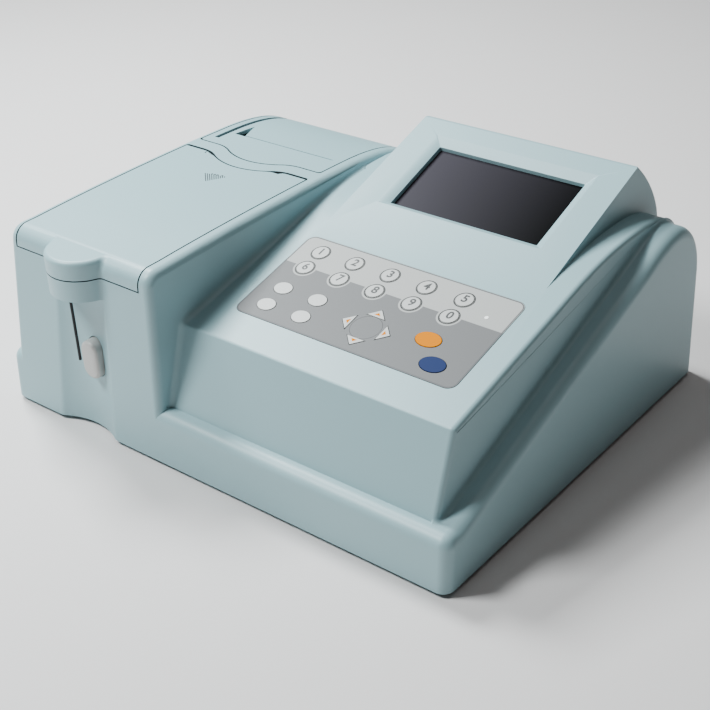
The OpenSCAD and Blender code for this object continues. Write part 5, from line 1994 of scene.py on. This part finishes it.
@dataclass
class Keypad:
    """The keypad film, its keys and what is printed on them, in the deck's frame."""

    left: float = 0.163
    bottom: float = 0.0245
    width: float = 0.163
    height: float = 0.079
    corner_r: float = 0.006
    proud: float = 0.0002
    key_top: float = 0.0006
    key_r: float = 0.00555
    first: Point = (0.1801, 0.0911)
    pitch: Point = (0.0274, 0.0161)
    seam: float = 0.00035
    ring_r: float = 0.00635
    ring_w: float = 0.0007
    columns: int = 5
    halo_r: float = 0.0079
    field_up: float = 0.001
    arrow_ring_r: float = 0.0099
    arrow_ring_w: float = 0.0004
    arrow_ring_rgb: tuple[int, int, int] = (70, 70, 72)
    # The rim line just inside the film's edge: print, darkened to paint the shade of the film's
    # recess as well.
    rim_in: float = 0.0006
    rim_w: float = 0.0008
    rim_rgb: tuple[int, int, int] = (96, 98, 100)
    digit_h: float = 0.0084
    digit_up: float = 0.0006
    function_size: Point = (0.0128, 0.0104)
    oval_size: Point = (0.017, 0.012)
    arrow_centre: Point = (0.2501, 0.046)
    arrow_reach: Point = (0.0176, 0.0164)
    arrow_leg: float = 0.0064
    function_up: Sequence[float] = (0.0287, 0.0122)
    stop_at: Point = (0.2901, 0.0532)
    enter_at: Point = (0.3043, 0.0369)
    cap_depth: float = 0.0023
    cap_edge: float = 0.00025
    film_depth: float = 0.001
    hole_up: float = 0.003
    stroke: float = 0.00022
    mark_share: float = 0.34
    mark_depth: float = 0.0002
    light_at: Point = (0.3101, 0.0834)
    light_r: float = 0.0012
    light_up: float = 0.0002

    def outline(self, grown: float = 0.0) -> Outline:
        """Outline of the film, grown by a distance."""
        return rounded_box(self.left - grown, self.bottom - grown, self.left + self.width + grown,
                           self.bottom + self.height + grown, self.corner_r + grown, 10)

    def digit_at(self, digit: int) -> Point:
        """Centre of a number key."""
        row, column = divmod((digit - 1) % 10, self.columns)
        return self.first[0] + column * self.pitch[0], self.first[1] - row * self.pitch[1]

    def arrow(self, index: int) -> Outline:
        """Outline of one of the four arrow keys, in the order of ARROWS.

        Args:
            index: Which key.

        Returns:
            The outline.
        """
        leg = self.arrow_leg
        shape = [(0.0, 0.0), (-leg, -leg), (leg, -leg)]
        turn = math.pi / 2 * index
        x0 = self.arrow_centre[0] - math.sin(turn) * self.arrow_reach[0]
        s0 = self.arrow_centre[1] + math.cos(turn) * self.arrow_reach[1]
        return [(x0 + x * math.cos(turn) - s * math.sin(turn),
                 s0 + x * math.sin(turn) + s * math.cos(turn)) for x, s in shape]

    def cap(self, name: str, outline: Outline) -> bpy.types.Object:
        """One key's cap, rounded along its top edge.

        Args:
            name: Name of the cap.
            outline: Its outline on the deck.

        Returns:
            The cap.
        """
        piece = prism(name, outline, Axis.Z, -self.cap_depth, self.key_top)

        def rim(a: Vector, b: Vector, angle: float) -> float:
            """Radius of the edge from a to b."""
            top = min(a.z, b.z) > self.key_top - TOUCH / 10
            return self.cap_edge if top and angle > RIM_BEND else 0

        round_edges(piece, rim, 3)
        smooth(piece, 40)
        return stand(piece, DECK)

    def keys(self) -> Iterable[tuple[str, Outline, Finish, str]]:
        """Every key's node, outline, finish and material slot.

        Yields:
            The node, the outline, the finish and the slot of one key after another.
        """
        for digit in range(10):
            yield (f"key_{digit}", circle(self.digit_at(digit), self.key_r, 48), KEY_WHITE,
                   "key_white")
        places = [(self.first[0] + x, self.bottom + s) for s in self.function_up
                  for x in (0.0, self.pitch[0])]
        for index, (x0, s0) in enumerate(places):
            yield (f"function_key_{index + 1}", ellipse((x0, s0), *self.function_size),
                   KEY_WHITE, "key_white")
        for index, name in enumerate(ARROWS):
            yield f"arrow_key_{name}", self.arrow(index), KEY_WHITE, "key_white"
        for name, at, finish in (("stop_key", self.stop_at, KEY_ORANGE),
                                 ("enter_key", self.enter_at, KEY_NAVY)):
            yield name, ellipse(at, *self.oval_size), finish, finish.name

    def film(self) -> bpy.types.Object:
        """The printed film with a hole for each key.

        Returns:
            The film.
        """
        piece = prism("keypad_film", self.outline(), Axis.Z, -self.film_depth, self.proud)
        for _, outline, _, _ in self.keys():
            hole = prism("hole", inset(outline, -self.seam), Axis.Z, -self.hole_up, self.hole_up)
            piece = combine(piece, hole, Join.CUT)
        smooth(piece, 32)
        return stand(piece, DECK)

    def digit(self, value: int) -> bpy.types.Object:
        """A number as a flat printed shape on its key.

        Args:
            value: The number.

        Returns:
            The shape.
        """
        bpy.ops.object.select_all(action="DESELECT")
        bpy.ops.object.text_add()
        text = bpy.context.active_object
        text.data.body = str(value)
        text.data.align_x, text.data.align_y = "CENTER", "CENTER"
        text.data.size, text.data.offset = self.digit_h, self.stroke
        text.data.resolution_u = 6
        bpy.ops.object.convert(target="MESH")
        piece = bpy.context.active_object
        piece.name = piece.data.name = f"printed_{value}"
        x, s = self.digit_at(value)
        place = Matrix.Translation((x, s + self.digit_up, self.key_top + PRINT_UP))
        return stand(piece, DECK @ place)

    def mark(self, index: int) -> bpy.types.Object:
        """The small triangle on an arrow key.

        Args:
            index: Which key, in the order of ARROWS.

        Returns:
            The triangle.
        """
        points = self.arrow(index)
        x0, s0 = (sum(p[k] for p in points) / 3 for k in (0, 1))
        small = [(x0 + (x - x0) * self.mark_share, s0 + (s - s0) * self.mark_share)
                 for x, s in points]
        piece = prism(f"mark_{ARROWS[index]}", small, Axis.Z, self.key_top - self.mark_depth,
                      self.key_top + PRINT_UP)
        return stand(piece, DECK)

    def build(self) -> None:
        """Builds the film, the keys and their print."""
        deliver(self.film(), "case", FILM, "keypad_film", "keypad_panel")
        for name, outline, finish, slot_name in self.keys():
            deliver(self.cap(f"cap_{name}", outline), name, finish, slot_name, name)
        for value in range(10):
            deliver(self.digit(value), f"key_{value}", INK, "key_white")
        for index, name in enumerate(ARROWS):
            deliver(self.mark(index), f"arrow_key_{name}", KEY_ORANGE, "key_orange")
        lamp = prism("power_light", circle(self.light_at, self.light_r, 24), Axis.Z, 0.0,
                     self.proud + self.light_up)
        deliver(stand(lamp, DECK), "case", LIGHT, "key_white")


@dataclass
class Front:
    """The trigger button under the nose."""

    centre: Point = (0.083, 0.0535)
    size: Point = (0.015, 0.027)
    face_y: float = 0.0018
    flange_y: float = 0.0133
    flange_out: float = 0.004
    flange_t: float = 0.002
    stem_r: float = 0.003
    stem_end: float = 0.0066
    stem_sunk: float = 0.0001
    edge: float = 0.002

    def build(self) -> None:
        """Builds the trigger with its rounded face."""
        x0, z0 = self.centre

        def outline(grown: float) -> Outline:
            """The trigger's outline, as much wider and higher as given."""
            return [(x0 + x, z0 + z) for x, z in
                    oval(self.size[0] + grown, self.size[1] + grown, 20)]

        piece = prism("trigger", outline(0), Axis.Y, self.face_y, self.flange_y)

        def rim(a: Vector, b: Vector, angle: float) -> float:
            """Radius of the edge from a to b."""
            front = max(a.y, b.y) < self.face_y + TOUCH / 10
            return self.edge if front and angle > RIM_BEND else 0

        round_edges(piece, rim, 5)
        flange_end = self.flange_y + self.flange_t
        flange = prism("flange", outline(self.flange_out), Axis.Y, self.flange_y - TOUCH,
                       flange_end)
        stem = prism("stem", circle(self.centre, self.stem_r, 24), Axis.Y,
                     flange_end - self.stem_sunk, self.flange_y + self.stem_end)
        piece = combine_all(piece, (flange, stem), Join.ADD)
        smooth(piece, 35)
        deliver(piece, "trigger", BUTTON_GREY, "button_grey", "trigger_button")


@dataclass
class LidMark:
    """The fine slanting bars on the lid, which narrow to a point, and the dots above them."""

    top: tuple[Point, Point] = ((0.0683, 0.1334), (0.0834, 0.1365))
    foot: tuple[Point, Point] = ((0.0779, 0.1239), (0.0845, 0.1350))
    bars: int = 10
    half_w: float = 0.0003
    dots: Sequence[float] = (0.36, 0.5, 0.64, 0.88)
    dot_away: float = 0.0008
    dot_len: float = 0.0009
    dot_half_w: float = 0.0006
    depth: float = 0.0004

    def strip(self, start: Vector, end: Vector, half_w: float) -> bpy.types.Object:
        """A thin flat bar between two points of the lid's top.

        Args:
            start: One end, from above.
            end: The other end.
            half_w: Half its width.

        Returns:
            The bar.
        """
        along = (end - start).normalized() * half_w
        side = Vector((-along.y, along.x))
        outline = [tuple(p) for p in (start - side, end - side, end + side, start + side)]
        z = max(CASE.top_z(start.y), CASE.top_z(end.y))
        return prism("lid_mark", outline, Axis.Z, z - self.depth, z + PRINT_UP)

    def build(self) -> None:
        """Builds the bars and the dots as one piece."""
        tops, feet = ([Vector(p) for p in pair] for pair in (self.top, self.foot))
        strips = []
        for index in range(self.bars):
            t = index / (self.bars - 1)
            strips.append(self.strip(tops[0].lerp(tops[1], t), feet[0].lerp(feet[1], t),
                                     self.half_w))
        for t in self.dots:
            start = tops[0].lerp(tops[1], t) + Vector((-1, 1)) * self.dot_away
            strips.append(self.strip(start, start + Vector((1, -1)) * self.dot_len,
                                     self.dot_half_w))
        mark = combine_all(strips[0], strips[1:], Join.ADD)
        mark.name = mark.data.name = "lid_mark"
        deliver(mark, "lid", INK, "case_plastic")


@dataclass(frozen=True)
class SoftLight:
    """A square light that faces the instrument."""

    name: str
    at: Place
    size: float
    power: float
    rgb: Place = (1, 1, 1)

    def build(self, aim: Place) -> None:
        """Adds the light.

        Args:
            aim: The point that it faces.
        """
        bpy.ops.object.light_add(type="AREA", location=self.at)
        lamp = bpy.context.active_object
        lamp.name = self.name
        lamp.data.size, lamp.data.energy, lamp.data.color = self.size, self.power, self.rgb
        way = Vector(aim) - Vector(self.at)
        lamp.rotation_euler = way.to_track_quat("-Z", "Y").to_euler()


COOL = (0.93, 1.0, 1.015)


@dataclass
class Stage:
    """The camera, the lights and the plain floor."""

    camera_at: Place = (0.51021, -0.60191, 0.49971)
    yaw: float = 39.92
    pitch: float = 31.02
    roll: float = -2.74
    lens: float = 69.465
    sensor_w: float = 36.0
    aim: Place = (0, 0, 0.06)
    floor_w: float = 12
    world_rgba: tuple[float, float, float, float] = (1.0, 0.90, 0.87, 1)
    world_power: float = 0.05
    lights: Sequence[SoftLight] = (
        SoftLight("key", (-0.82, 0.20, 1.15), 0.4, 33, COOL),
        SoftLight("fill", (-0.55, -0.62, 1.10), 0.35, 22, COOL),
        SoftLight("top", (0.30, 0.60, 1.80), 1.0, 4),
    )

    def camera(self) -> None:
        """Sets the camera."""
        yaw, pitch, roll = (math.radians(v) for v in (self.yaw, self.pitch, self.roll))
        back = Vector((math.sin(yaw) * math.cos(pitch), -math.cos(yaw) * math.cos(pitch),
                       math.sin(pitch)))
        right = Vector((math.cos(yaw), math.sin(yaw), 0))
        up = back.cross(right)
        across = math.cos(roll) * right + math.sin(roll) * up
        above = math.cos(roll) * up - math.sin(roll) * right
        bpy.ops.object.camera_add()
        camera = bpy.context.active_object
        camera.matrix_world = (Matrix.Translation(self.camera_at)
                               @ Matrix((across, above, back)).transposed().to_4x4())
        camera.data.lens, camera.data.sensor_width = self.lens, self.sensor_w
        bpy.context.scene.camera = camera

    def build(self) -> None:
        """Sets the floor, the lights and the camera."""
        bpy.ops.mesh.primitive_plane_add(size=self.floor_w)
        floor = bpy.context.active_object
        floor.name = floor.data.name = "floor"
        dress(floor, FLOOR)
        world = bpy.data.worlds.new("world")
        world.use_nodes = True
        background = world.node_tree.nodes["Background"]
        background.inputs[0].default_value = self.world_rgba
        background.inputs[1].default_value = self.world_power
        bpy.context.scene.world = world
        for light in self.lights:
            light.build(self.aim)
        self.camera()


def dress_nodes() -> None:
    """Gives every node that is shown as built its finish."""
    for name, finish in NODE_FINISHES.items():
        dress(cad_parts[name], finish)
        LOG.info("%s in %s", name, finish.name)


def main() -> None:
    """Builds the looks."""
    logging.basicConfig(level=logging.INFO, format="%(name)s: %(message)s")
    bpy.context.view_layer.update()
    dress_nodes()
    Mouldings(CaseForm()).build()
    Keypad().build()
    Front().build()
    LidMark().build()
    Stage().build()


if __name__ == "__main__":
    main()
